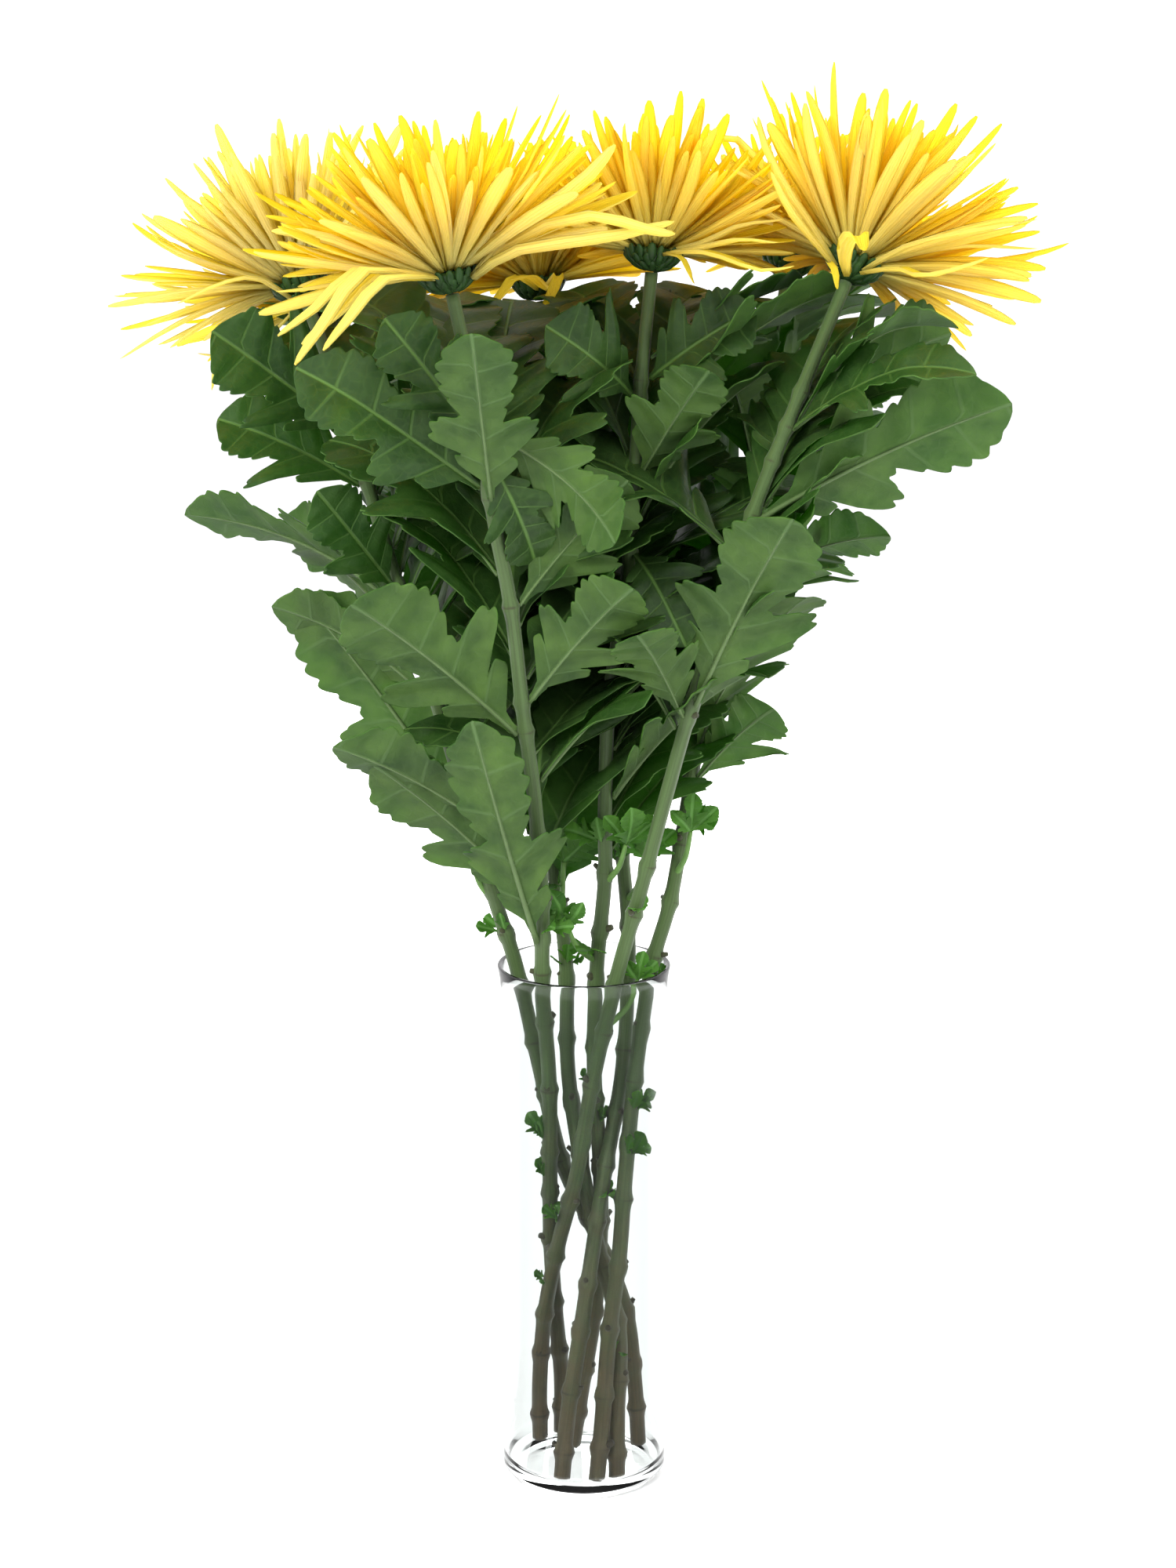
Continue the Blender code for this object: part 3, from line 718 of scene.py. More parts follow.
def leaf_material(name, colour, vein, glow, roughness, rise, through):
    """One side of a leaf: veins as on the blade, blotches that are partly painted shade and painted glow,
    and light that comes through from behind.

    rise is above 0 where the veins stand out and below 0 where they are sunk.
    """
    made, tree = new_material(name)
    across, along = map_values(tree, "blade")
    aside = maths(tree, "ABSOLUTE", across)
    # The map's first value is in decimetres from the midrib: a pale band 1.6 mm wide
    midrib = ramp(tree, aside, 0.003, 0.013, 1.0, 0.0)
    # Side veins leave the midrib a fifth of the length apart
    shifted = maths(tree, "ADD", along, 1.0)
    gap = maths(tree, "PINGPONG", shifted, VEIN_SPACING / 2)
    side = ramp(tree, gap, 0.003, 0.013, 1.0, 0.0)
    fade = ramp(tree, aside, 0.02, 0.28, 0.55, 0.1, "LINEAR")
    side = maths(tree, "MULTIPLY", side, fade)
    # The finest veins close cells of about 5 mm
    place = object_place(tree)
    bent = noise(tree, place, 160.0, output=1)
    warped = add_node(tree, "ShaderNodeMix", {"data_type": "VECTOR"}, {
        0: 0.004, 4: place, 5: bent,
    }, output=1)
    net = add_node(tree, "ShaderNodeTexVoronoi", {"feature": "DISTANCE_TO_EDGE"}, {
        "Vector": warped, "Scale": 190.0,
    })
    fine = ramp(tree, net, 0.0, 0.16, 0.12, 0.0)
    veins = maths(tree, "MAXIMUM", maths(tree, "MAXIMUM", midrib, side), fine)
    # Random blotches of about 18 mm between a darker copy of the colour and a lighter, yellower one:
    # partly the leaf's own mottling, partly painted shade of its waves and a painted glow of light
    # through the blade
    blotch = noise(tree, place, 55.0, 5.0, 0.6)
    mottle = ramp(tree, blotch, 0.3, 0.7, 0.0, 1.0, "LINEAR")
    blotch_and_glow = tuple(c * gain for c, gain in zip(colour, BLOTCH_AND_GLOW_GAINS))
    flesh = blend(tree, mottle, shaded(colour, 0.6), blotch_and_glow)
    tinted = blend(tree, veins, flesh, vein)
    lit = blend(tree, veins, glow, shaded(glow, 0.6))
    bump = relief(tree, maths(tree, "MULTIPLY_ADD", veins, rise, blotch), 0.7, 0.0009)
    shader = add_node(tree, "ShaderNodeBsdfPrincipled", inputs={
        "Base Color": tinted, "Roughness": roughness, "IOR": 1.42, "Specular IOR Level": 0.4,
        "Normal": bump,
    })
    passed = add_node(tree, "ShaderNodeBsdfTranslucent", inputs={"Color": lit, "Normal": bump})
    return finished(made, add_node(tree, "ShaderNodeMixShader", inputs={
        0: through, 1: shader, 2: passed,
    }))


def leaf_materials(settings):
    """The upper side, the underside and the raised midrib."""
    upper = leaf_material(
        "chrysanthemum leaf upper side", settings.upper, linear("#48652f"), settings.glow,
        roughness=0.4, rise=-0.6, through=0.17,
    )
    under = leaf_material(
        "chrysanthemum leaf underside", settings.under, linear("#567043"), settings.glow,
        roughness=0.6, rise=0.6, through=0.36,
    )
    return upper, under, stalk_material("green leaf stalk", linear("#4d6239"))


def young_leaf_materials(settings):
    """The same three for a leaf that has just opened: light green, thin and soft."""
    blade = leaf_material(
        "young chrysanthemum leaf", linear("#375f22"), linear("#537f3a"), settings.glow,
        roughness=0.5, rise=-0.5, through=0.32,
    )
    return blade, blade, stalk_material("young leaf stalk", linear("#55783a"))


def blotchy_material(name, scale, dark, light, strength, distance, roughness):
    """Smooth juicy skin, with blotches between two greens that stand up a little."""
    made, tree = new_material(name)
    blotch = noise(tree, object_place(tree), scale, 3.0)
    return finished(made, add_node(tree, "ShaderNodeBsdfPrincipled", inputs={
        "Base Color": blend(tree, blotch, dark, light), "Roughness": roughness, "IOR": 1.42,
        "Normal": relief(tree, blotch, strength, distance),
    }))


def stalk_material(name, colour):
    """Leaf stalk and midrib: green, smooth and slightly juicy."""
    return blotchy_material(name, 220.0, shaded(colour, 0.7), shaded(colour, 1.2), 0.3, 0.0003, 0.5)


def calyx_material():
    """Bracts under the flower: dark green with a matt bloom and blotches."""
    return blotchy_material(
        "dark green bract", 300.0, linear("#0f2209"), linear("#2c4a20"), 0.4, 0.0004, 0.45
    )


def floret_material(settings):
    """Ray floret: soft petal tissue, pale and ribbed outside, golden inside, and half lit through."""
    made, tree = new_material("yellow ray floret")
    across, along = map_values(tree, "strap")
    age, chance = map_values(tree, "tone")
    # The first half of the map runs over the outer side, the second over the inner side
    inside = ramp(tree, across, 0.46, 0.54, 0.0, 1.0)
    # Florets pale as they age: those in the middle are golden on both sides
    pale = blend(tree, age, linear("#ffe93a"), settings.outer)
    gold = blend(tree, age, linear("#ffe418"), settings.inner)
    # Ribs about 0.8 mm apart run the length of the outer side
    rib = maths(tree, "SINE", maths(tree, "MULTIPLY", across, FLORET_RIBS * math.tau))
    # The grooves between the ribs are darker and greener: partly the lines' own colour, partly painted
    # shade in the grooves
    groove = ramp(tree, rib, -1.0, 0.2, 0.30, 0.0)
    ribbed = blend(tree, groove, pale, linear("#f4e656"))
    sides = blend(tree, inside, ribbed, gold)
    varied = ramp(tree, chance, 0.0, 1.0, 0.0, 0.2, "LINEAR")
    mixed = blend(tree, varied, sides, linear("#ffee60"))
    # The tube at the foot of the floret is paler: partly its own colour, partly painted light that lifts
    # the shade near the bracts
    foot = ramp(tree, along, 0.0, 0.32, 0.45, 0.0)
    base = blend(tree, foot, mixed, linear("#f6ef94"))
    bump = relief(tree, rib, 0.5, 0.0002)
    shader = add_node(tree, "ShaderNodeBsdfPrincipled", inputs={
        "Base Color": base, "Roughness": 0.5, "IOR": 1.38, "Normal": bump,
    })
    passed = add_node(tree, "ShaderNodeBsdfTranslucent", inputs={"Color": base, "Normal": bump})
    return finished(made, add_node(tree, "ShaderNodeMixShader", inputs={
        0: 0.72, 1: shader, 2: passed,
    }))


def floor_material(settings):
    """Matt white paper sweep with a faint tooth."""
    made, tree = new_material("matt white paper")
    tooth = noise(tree, object_place(tree), 400.0)
    return finished(made, add_node(tree, "ShaderNodeBsdfPrincipled", inputs={
        "Base Color": blend(tree, tooth, settings.floor, linear("#fdfdfd")), "Roughness": 0.9,
        "Specular IOR Level": 0.1,
    }))


def add_object(name, data):
    """An object for the data, in the scene."""
    made = bpy.data.objects.new(name, data)
    bpy.context.scene.collection.objects.link(made)
    return made


def add_piece(name, shape, materials, replaced=()):
    """Makes the finished piece from the bmesh, and says what it rides on and stands for."""
    mesh = bpy.data.meshes.new(name)
    shape.to_mesh(mesh)
    shape.free()
    mesh.shade_smooth()
    for material in materials:
        mesh.materials.append(material)
    piece = add_object(name, mesh)
    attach(piece, "root")
    if replaced:
        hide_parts(*replaced)
    return piece


def smooth_line(points, shares):
    """Points of a smooth curve through the given points, at these shares of its run."""
    points = [Vector(p) for p in points]
    points = [2 * points[0] - points[1], *points, 2 * points[-1] - points[-2]]
    spans = len(points) - 3
    line = []
    for share in shares:
        place = share * spans
        k = min(int(place), spans - 1)
        t = place - k
        before, start, end, after = points[k : k + 4]
        line.append(
            start
            + (end - before) * (t / 2)
            + (2 * before - 5 * start + 4 * end - after) * (t * t / 2)
            + (3 * start - before - 3 * end + after) * (t**3 / 2)
        )
    return line


def stem_radius(height, top):
    return STEM_FOOT_RADIUS + (STEM_TOP_RADIUS - STEM_FOOT_RADIUS) * height / top


def stem_line(route):
    """The stem's centre line, with its cut end lifted clear of the vase's floor."""
    line = smooth_line(route, [i / STEM_ROWS for i in range(STEM_ROWS + 1)])
    lean = (line[1] - line[0]).angle(Vector((0, 0, 1)))
    foot = VASE_FLOOR + GAP + STEM_FOOT_RADIUS * 1.1 * math.sin(lean)
    line[0].z = max(line[0].z, foot)
    return line


def place_at_height(line, height):
    """The point on the stem's centre line at this height, and the stem's direction there."""
    for low, high in zip(line, line[1:]):
        if low.z <= height <= high.z:
            place = low.lerp(high, (height - low.z) / (high.z - low.z))
            return place, (high - low).normalized()
    raise ValueError(f"the stem does not reach {height} m")


def head_frame(line):
    """The matrix that puts a flower head's +Z along the stem's upper end."""
    axis = (line[-1] - line[-4]).normalized()
    seat = line[-1] + axis * GAP
    return Matrix.Translation(seat) @ axis.to_track_quat("Z", "Y").to_matrix().to_4x4()


def smoothstep(value, low, high):
    t = min(max((value - low) / (high - low), 0.0), 1.0)
    return t * t * (3 - 2 * t)


def directions_along(line):
    """The line's direction at each of its points."""
    after = [*line[1:], line[-1]]
    before = [line[0], *line[:-1]]
    return [(b - a).normalized() for a, b in zip(before, after)]


def add_tube(shape, line, radius_at, sides):
    """A tube with open ends, along the line. radius_at takes the row and the share of the way round."""
    rows = len(line)
    grid = bmesh.ops.create_grid(
        shape, x_segments=sides, y_segments=rows - 1, size=1.0, calc_uvs=True
    )["verts"]
    tangents = directions_along(line)
    normal = tangents[0].orthogonal().normalized()
    frames = []
    for tangent in tangents:
        normal = (normal - tangent * normal.dot(tangent)).normalized()
        frames.append((normal.copy(), tangent.cross(normal)))
    for vert in grid:
        turn = (vert.co.x + 1) / 2
        row = round((vert.co.y + 1) / 2 * (rows - 1))
        first, second = frames[row]
        angle = -turn * math.tau
        outward = first * math.cos(angle) + second * math.sin(angle)
        vert.co = line[row] + outward * radius_at(row, turn % 1.0)
    faces = {face for vert in grid for face in vert.link_faces}
    bmesh.ops.remove_doubles(shape, verts=grid, dist=MERGE_DISTANCE)
    return [face for face in faces if face.is_valid]


def close_ends(shape):
    """Fills the open ends of the tubes and straps."""
    bmesh.ops.holes_fill(shape, edges=[e for e in shape.edges if e.is_boundary])


def spun(shape, profile, sides):
    """A profile in the XZ plane, turned once about Z, with its poles closed."""
    verts = [shape.verts.new((radius, 0.0, height)) for radius, height in profile]
    edges = [shape.edges.new(pair) for pair in zip(verts, verts[1:])]
    bmesh.ops.spin(
        shape, geom=[*verts, *edges], axis=(0, 0, 1), cent=(0, 0, 0), dvec=(0, 0, 0),
        angle=math.tau, steps=sides, use_merge=True, use_duplicate=False,
    )
    bmesh.ops.remove_doubles(shape, verts=shape.verts, dist=MERGE_DISTANCE * 10)
    bmesh.ops.recalc_face_normals(shape, faces=shape.faces)


def lobe_breadth(v, lobes, end, stalk_width, body_width):
    """Half width of the blade where the side vein leaves the midrib at v, as a share of the widest."""
    stalk = stalk_width * (0.55 + 0.45 * smoothstep(v, 0.02, 0.10)) * (1 - smoothstep(v, 0.9, 1.0))
    body = body_width * smoothstep(v, 0.10, 0.24) * (1 - smoothstep(v, 0.8, 1.0))
    total = stalk**LOBE_POWER + body**LOBE_POWER
    for place, breadth, run in lobes:
        across = (v - place) / run
        if abs(across) < 1:
            flank = math.sqrt(1 - across**8)
            tip = math.sqrt(1 - across * across) - LOBE_SLANT * across
            total += (breadth * flank * (1 - LOBE_ROUND + LOBE_ROUND * tip)) ** LOBE_POWER
    place, breadth, run = end
    across = abs(v - place) / run
    if across < 1:
        total += (breadth * (1 - across**TIP_BLUNTNESS) ** TIP_TAPER) ** LOBE_POWER
    return total ** (1 / LOBE_POWER)


def tooth(v, phase):
    """A blunt tooth that leans towards the tip."""
    t = (v * TEETH + phase) % 1.0
    if t < TOOTH_RISE:
        return math.sin(t / TOOTH_RISE * math.pi / 2)
    return math.cos((t - TOOTH_RISE) / (1 - TOOTH_RISE) * math.pi / 2)


def leaf_axes(leaf, line):
    """Where the blade starts and ends, and its directions across and towards its upper side."""
    centre, upward = place_at_height(line, leaf.height)
    tip = Vector(leaf.tip)
    along = (tip - centre).normalized()
    across = along.cross(Vector(leaf.faces)).normalized()
    upper = across.cross(along)
    away = (along - upward * along.dot(upward)).normalized()
    stalk_reach = leaf.width / 2 * STALK_START * abs(across.dot(away))
    stand_off = stem_radius(leaf.height, line[-1].z) + CAD_LEAF_THICKNESS / 2 + STALK_GAP
    return centre + away * (stand_off + stalk_reach), tip, across, upper


def add_leaf(shape, layer, axes, leaf, thickness, draw, rows=LEAF_ROWS):
    """A lobed and toothed blade, folded along its midrib, with a raised midrib under it."""
    start, tip, across, upper = axes
    length = (tip - start).length
    half = leaf.width / 2 * LEAF_SPREAD
    grown = length / GROWN_LENGTH
    stalk_width = max(STALK_WIDTH, LEAST_STALK / half)
    shift = draw.uniform(0.0, 0.025)
    folded = leaf.fold * draw.uniform(0.4, 1.5)
    wavy = RUFFLE_DEPTH * grown * draw.uniform(0.5, 1.5)
    body_width = draw.uniform(*BODY_WIDTHS)
    slant = draw.uniform(*VEIN_SLANTS)
    end = (LOBES[-1][0], LOBES[-1][1] * draw.uniform(*END_BREADTHS), LOBES[-1][2])
    lobes = {}
    phases = {}
    # The two sides have lobes, teeth and waves of their own
    for side in (-1, 1):
        lobes[side] = [
            (place + side * shift, breadth * draw.uniform(0.80, 1.08), run * draw.uniform(0.86, 1.08))
            for place, breadth, run in LOBES[:-1]
        ]
        phases[side] = (draw.random(), draw.uniform(0, math.tau), draw.uniform(1.2, 2.4))

    def midrib(share):
        bend = 4 * leaf.arch * share * (1 - share)
        bend -= leaf.hook * max(0.0, (share - 0.6) / 0.4) ** 2
        return start.lerp(tip, share) + upper * bend

    columns = len(LEAF_COLUMNS) - 1
    grid = bmesh.ops.create_grid(shape, x_segments=columns, y_segments=rows, size=1.0)["verts"]
    maps = {}
    for vert in grid:
        u = LEAF_COLUMNS[round((vert.co.x + 1) / 2 * columns)]
        v = (vert.co.y + 1) / 2
        side = 1 if u > 0 else -1
        tooth_phase, wave_phase, waves = phases[side]
        bladed = smoothstep(v, 0.12, 0.22) * (1 - smoothstep(v, 0.86, 0.97))
        toothed = TOOTH_DEPTH * grown * tooth(v, tooth_phase) * bladed * smoothstep(abs(u), 0.6, 1.0)
        breadth = lobe_breadth(v, lobes[side], end, stalk_width, body_width)
        x = u * half * breadth + side * toothed
        share = v + abs(x) * slant * (1 - v) / length
        outer = min(1.0, abs(x) / half)
        fold = folded * abs(x) * (1 - 0.5 * outer)
        vein = math.cos((v - side * shift - VEIN_START) / VEIN_SPACING * math.tau)
        quilt = -QUILT_DEPTH * grown * vein * min(1.0, abs(x) / 0.006) * bladed
        wave = wavy * outer * outer * math.sin(share * waves * math.tau + wave_phase)
        twist = leaf.twist * share
        vert.co = (
            midrib(share)
            + across * (x * math.cos(twist))
            + upper * (fold + quilt + wave + x * math.sin(twist))
        )
        maps[vert] = (x * 10, v - side * shift)
    sheet = list(dict.fromkeys(face for vert in grid for face in vert.link_faces))
    for face in sheet:
        for loop in face.loops:
            loop[layer].uv = maps[loop.vert]
    edges = list(dict.fromkeys(edge for face in sheet for edge in face.edges))
    known = set(shape.faces)
    shape.normal_update()
    shell = bmesh.ops.solidify(shape, geom=[*grid, *edges, *sheet], thickness=thickness)["geom"]
    for face in shape.faces:
        if face not in known:
            face.material_index = 1
    for item in shell:
        if isinstance(item, bmesh.types.BMFace):
            item.material_index = 1
    shares = [i / MIDRIB_STEPS * MIDRIB_RUN for i in range(MIDRIB_STEPS + 1)]
    thickest = max(MIDRIB_RADIUS * grown, LEAST_RIB)
    radii = [thickest * (1.0 - MIDRIB_TAPER * share) for share in shares]
    line = [
        midrib(share) - upper * (radius * 0.55 + thickness / 2)
        for share, radius in zip(shares, radii)
    ]
    for face in add_tube(shape, line, lambda row, turn: radii[row], 6):
        face.material_index = 2


def add_side_shoot(shape, layer, foot, end, length, draw):
    """A bowed twig with young leaves at its end."""
    bow = foot.lerp(end, 0.45) + Vector((end.x - foot.x, end.y - foot.y, 0)) * 0.22
    twig = smooth_line((foot, bow, end), [i / 10 for i in range(11)])
    for face in add_tube(shape, twig, lambda row, turn: TWIG_RADIUS * (1.2 - 0.05 * row), 8):
        face.material_index = 2
    onward = (twig[-1] - twig[-3]).normalized()
    for turn, share in ((-0.9, 0.7), (-0.1, 1.0), (0.8, 0.8)):
        aside = Vector((turn, draw.uniform(-0.5, 0.3), draw.uniform(-0.1, 0.3)))
        tip = end + (onward + aside).normalized() * length * share
        along = (tip - end).normalized()
        across = along.cross(Vector((draw.uniform(-0.4, 0.4), -1, 0.5))).normalized()
        leaf = Leaf(
            end.z, tuple(tip), UP, length * share * 0.62, 0.001, hook=length * draw.uniform(0.0, 0.2)
        )
        axes = (end, tip, across, across.cross(along))
        add_leaf(shape, layer, axes, leaf, SHOOT_THICKNESS, draw, SHOOT_ROWS)


def in_bunch(point):
    """True where a leaf's tip stays inside the bunch, behind the leaves that face the front."""
    rise = point.z - INNER_LOWEST
    back = SPREAD_BACK if point.y > 0 else SPREAD_FRONT
    return (
        INNER_LOWEST_TIP < point.z < INNER_HIGHEST
        and abs(point.x) < SPREAD_SIDE[0] + SPREAD_SIDE[1] * rise
        and abs(point.y) < back[0] + back[1] * rise
    )


def blade_marks(start, tip):
    """Three places along a blade, by which leaves keep apart."""
    return [start.lerp(tip, share) for share in (0.4, 0.7, 1.0)]


def inner_leaves(name, line, placed):
    """Leaves at the nodes that the table leaves bare, each where the others leave it most room."""
    draw = random.Random("inner " + name)
    height = INNER_LOWEST
    while height < line[-1].z - INNER_HEADROOM:
        place, _ = place_at_height(line, height)
        for _ in range(INNER_TRIES):
            angle = draw.uniform(0, math.tau)
            rise = draw.uniform(*INNER_RISES)
            reach = draw.uniform(*INNER_LENGTHS)
            aside = Vector((math.cos(angle), math.sin(angle), 0))
            tip = place + (aside + Vector((0, 0, rise))).normalized() * reach
            marks = blade_marks(place, tip)
            room = min((a - b).length for a in marks for b in placed)
            if in_bunch(tip) and room > INNER_SPACE:
                placed.extend(marks)
                yield Leaf(
                    height, tuple(tip), tuple(Vector((0, 0, 1)) - aside * 0.35),
                    draw.uniform(*INNER_WIDTHS), draw.uniform(0.002, 0.012),
                    hook=draw.uniform(0.0, 0.016), twist=draw.uniform(-0.5, 0.5),
                )
                break
        height += INNER_STEP * draw.uniform(0.85, 1.15)


def share_inside(point, centre, others):
    """How much of the way from the centre to the point stays on this head's own side."""
    share = 1.0
    for other in others:
        apart = other - centre
        limit = apart.length / 2 + HEAD_OVERLAP
        reach = (point - centre).dot(apart.normalized())
        if reach > limit:
            share = min(share, limit / reach)
    return share


def add_floret(shape, layers, line, width, inward, gutter, tone):
    """A strap along the line, gutter shaped, with its inner side towards inward and its ends open."""
    sides = len(FLORET_RING)
    rows = len(FLORET_ROWS)
    grid = bmesh.ops.create_grid(
        shape, x_segments=sides, y_segments=rows - 1, size=1.0, calc_uvs=True
    )["verts"]
    for vert in grid:
        for loop in vert.link_loops:
            loop[layers[1]].uv = tone
    tangents = directions_along(line)
    for vert in grid:
        place = round((vert.co.x + 1) / 2 * sides) % sides
        row = round((vert.co.y + 1) / 2 * (rows - 1))
        _, breadth, depth = FLORET_ROWS[row]
        across, lower, inner = FLORET_RING[place]
        tangent = tangents[row]
        normal = (inward[row] - tangent * inward[row].dot(tangent)).normalized()
        side = normal.cross(tangent)
        half = width / 2 * breadth
        rise = lower * depth * gutter * half + inner * FLORET_THICKNESS * breadth
        vert.co = line[row] + side * (across * half) + normal * rise
    bmesh.ops.remove_doubles(shape, verts=grid, dist=MERGE_DISTANCE)


def add_head(shape, layers, name, frame_matrix, centre, others, settings, length):
    """All florets of one flower, from the short middle ones out to the long flat ones.

    A floret's tone is how far it has paled, and a chance value for its own shade.
    """
    draw = random.Random(name)
    least, most = PALED.get(name, PALED_ELSEWHERE)
    turn = frame_matrix.to_quaternion()
    axis = turn @ Vector((0, 0, 1))
    down = Vector((0, 0, -1))
    shares = [row[0] for row in FLORET_ROWS]
    for number in range(settings.count):
        share = (number + 0.5) / settings.count
        tilt = math.acos(1 - share) + draw.uniform(-STRAY_LEAN, STRAY_LEAN)
        angle = number * GOLDEN_ANGLE + draw.uniform(-STRAY_TURN, STRAY_TURN)
        around = turn @ Vector((math.cos(angle), math.sin(angle), 0))
        tilt *= 1 - FRONT_LIFT * smoothstep(-around.y, 0.2, 0.95)
        flat = smoothstep(tilt, *FLAT_LEANS)
        outward = axis * math.cos(tilt) + around * math.sin(tilt)
        inward = axis * math.sin(tilt) - around * math.cos(tilt)
        sideways = outward.cross(inward)
        base = frame_matrix @ Vector((0, 0, CALYX_DEPTH - 0.001 + 0.003 * math.cos(tilt)))
        base += around * (SEAT_RADIUS * math.sin(min(abs(tilt), math.pi / 2)))
        young = 1 - smoothstep(share, 0.05, 0.55)
        reach = length * (1.0 - YOUNG_SHORTER * young) * draw.uniform(*REACHES)
        reach *= share_inside(base + outward * reach, centre, others)
        # The flat florets start upwards and then arch over
        rise = ARCH_RISE * flat
        curve = draw.uniform(-0.12, 0.10) * (1 - flat) + (rise + draw.uniform(-0.06, 0.10)) * flat
        sway = draw.uniform(-0.10, 0.10)
        hook = draw.uniform(-0.04, 0.08)
        roll = draw.uniform(-0.6, 0.6) + draw.uniform(-0.9, 0.9) * flat
        twist = draw.uniform(-1.0, 1.0) * draw.random()
        width = settings.width * draw.uniform(*WIDTHS) * (1.0 - YOUNG_NARROWER * young)
        line = []
        facing = []
        for t in shares:
            bend = (down if flat > 0.5 else -inward) * (curve * t * t)
            bend += axis * (rise * t * (1 - 0.2 * t))
            bend += sideways * (sway * t * t) + inward * (hook * t**4)
            line.append(base + (outward * t + bend) * reach)
            angle_here = roll + twist * t
            facing.append(inward * math.cos(angle_here) + sideways * math.sin(angle_here))
        tone = (least + (most - least) * smoothstep(share, 0.5, 1.0), draw.random())
        add_floret(shape, layers, line, width, facing, draw.uniform(0.8, 1.7), tone)
    for route, width, faces in LONG_FLORETS.get(name, ()):
        line = smooth_line(route, shares)
        facing = [Vector(faces)] * len(line)
        add_floret(shape, layers, line, width, facing, 1.3, (max(most, 0.7), 0.9))
    for tip in TALL_TIPS.get(name, ()):
        base = frame_matrix @ Vector((0, 0, CALYX_DEPTH))
        reach = Vector(tip) - base
        # It starts outwards and then turns up
        middle = base + reach * 0.55 - axis * (reach.length * draw.uniform(0.0, 0.10))
        line = smooth_line((base, middle, Vector(tip)), shares)
        facing = [axis * 0.3 - reach.normalized().cross(axis).cross(reach)] * len(line)
        add_floret(shape, layers, line, TALL_WIDTH, facing, 1.2, (TALL_PALED, draw.random()))


def add_calyx(shape, frame_matrix, draw):
    """A shallow cup of overlapping rounded bracts."""
    cup = bmesh.new()
    spun(cup, (
        *((CALYX_RADIUS * out, CALYX_DEPTH * up) for out, up in CUP),
        (STEM_TOP_RADIUS * 1.15, CALYX_DEPTH * 0.04),
        (0.0, 0.0),
    ), 24)
    for row, (count, radius, height, lean) in enumerate(BRACTS):
        for number in range(count):
            angle = (number + 0.5 * row + draw.uniform(-0.15, 0.15)) / count * math.tau
            bract = bmesh.ops.create_uvsphere(cup, u_segments=6, v_segments=5, radius=1.0)["verts"]
            size = Vector(BRACT_SIZE) * draw.uniform(0.85, 1.2)
            tilt = math.radians(lean + draw.uniform(-8, 8))
            move = (
                Matrix.Rotation(angle, 4, "Z")
                @ Matrix.Translation((radius, 0, height))
                @ Matrix.Rotation(tilt, 4, "Y")
                @ Matrix.Diagonal((*size, 1.0))
            )
            bmesh.ops.transform(cup, matrix=move, verts=bract)
    bmesh.ops.transform(cup, matrix=frame_matrix, verts=cup.verts)
    mesh = bpy.data.meshes.new("cup")
    cup.to_mesh(mesh)
    cup.free()
    shape.from_mesh(mesh)
    bpy.data.meshes.remove(mesh)


class BUNCH_OT_glass_vase(bpy.types.Operator):
    """Turn the clear glass cylinder with its thick foot and its slightly flared lip"""

    bl_idname = "bunch.glass_vase"
    bl_label = "Glass vase"

    def execute(self, context):
        settings = context.scene.bunch_vase
        inner = VASE_RADIUS - settings.wall
        lip_start = VASE_HEIGHT - VASE_LIP_DEPTH
        shape = bmesh.new()
        # From the middle of the inner floor up to the lip, and down to the middle of the underside
        spun(shape, (
            (0.0, VASE_FLOOR - VASE_SUNK),
            *((inner - inset, VASE_FLOOR + rise) for inset, rise in VASE_CORNER),
            (inner, lip_start),
            (inner + VASE_LIP_FLARE * 0.35, lip_start + VASE_LIP_DEPTH / 2),
            (inner + VASE_LIP_FLARE + VASE_LIP_THINNING, VASE_HEIGHT),
            (VASE_RADIUS + VASE_LIP_FLARE, VASE_HEIGHT),
            (VASE_RADIUS + VASE_LIP_FLARE * 0.35, lip_start + VASE_LIP_DEPTH / 2),
            (VASE_RADIUS, lip_start),
            *((VASE_RADIUS - inset, height) for inset, height in VASE_FOOT),
            (0.0, VASE_PUNT),
        ), VASE_SIDES)
        rings = [
            edge for edge in shape.edges
            if edge.is_manifold
            and abs(edge.verts[0].co.z - edge.verts[1].co.z) < MERGE_DISTANCE
            and edge.calc_face_angle() > 0.3
        ]
        bmesh.ops.bevel(
            shape, geom=rings, offset=settings.corner, segments=4, profile=0.5,
            affect="EDGES", material=-1,
        )
        add_piece("glass_cylinder", shape, [glass_material(settings)], ["vase"])
        return {"FINISHED"}


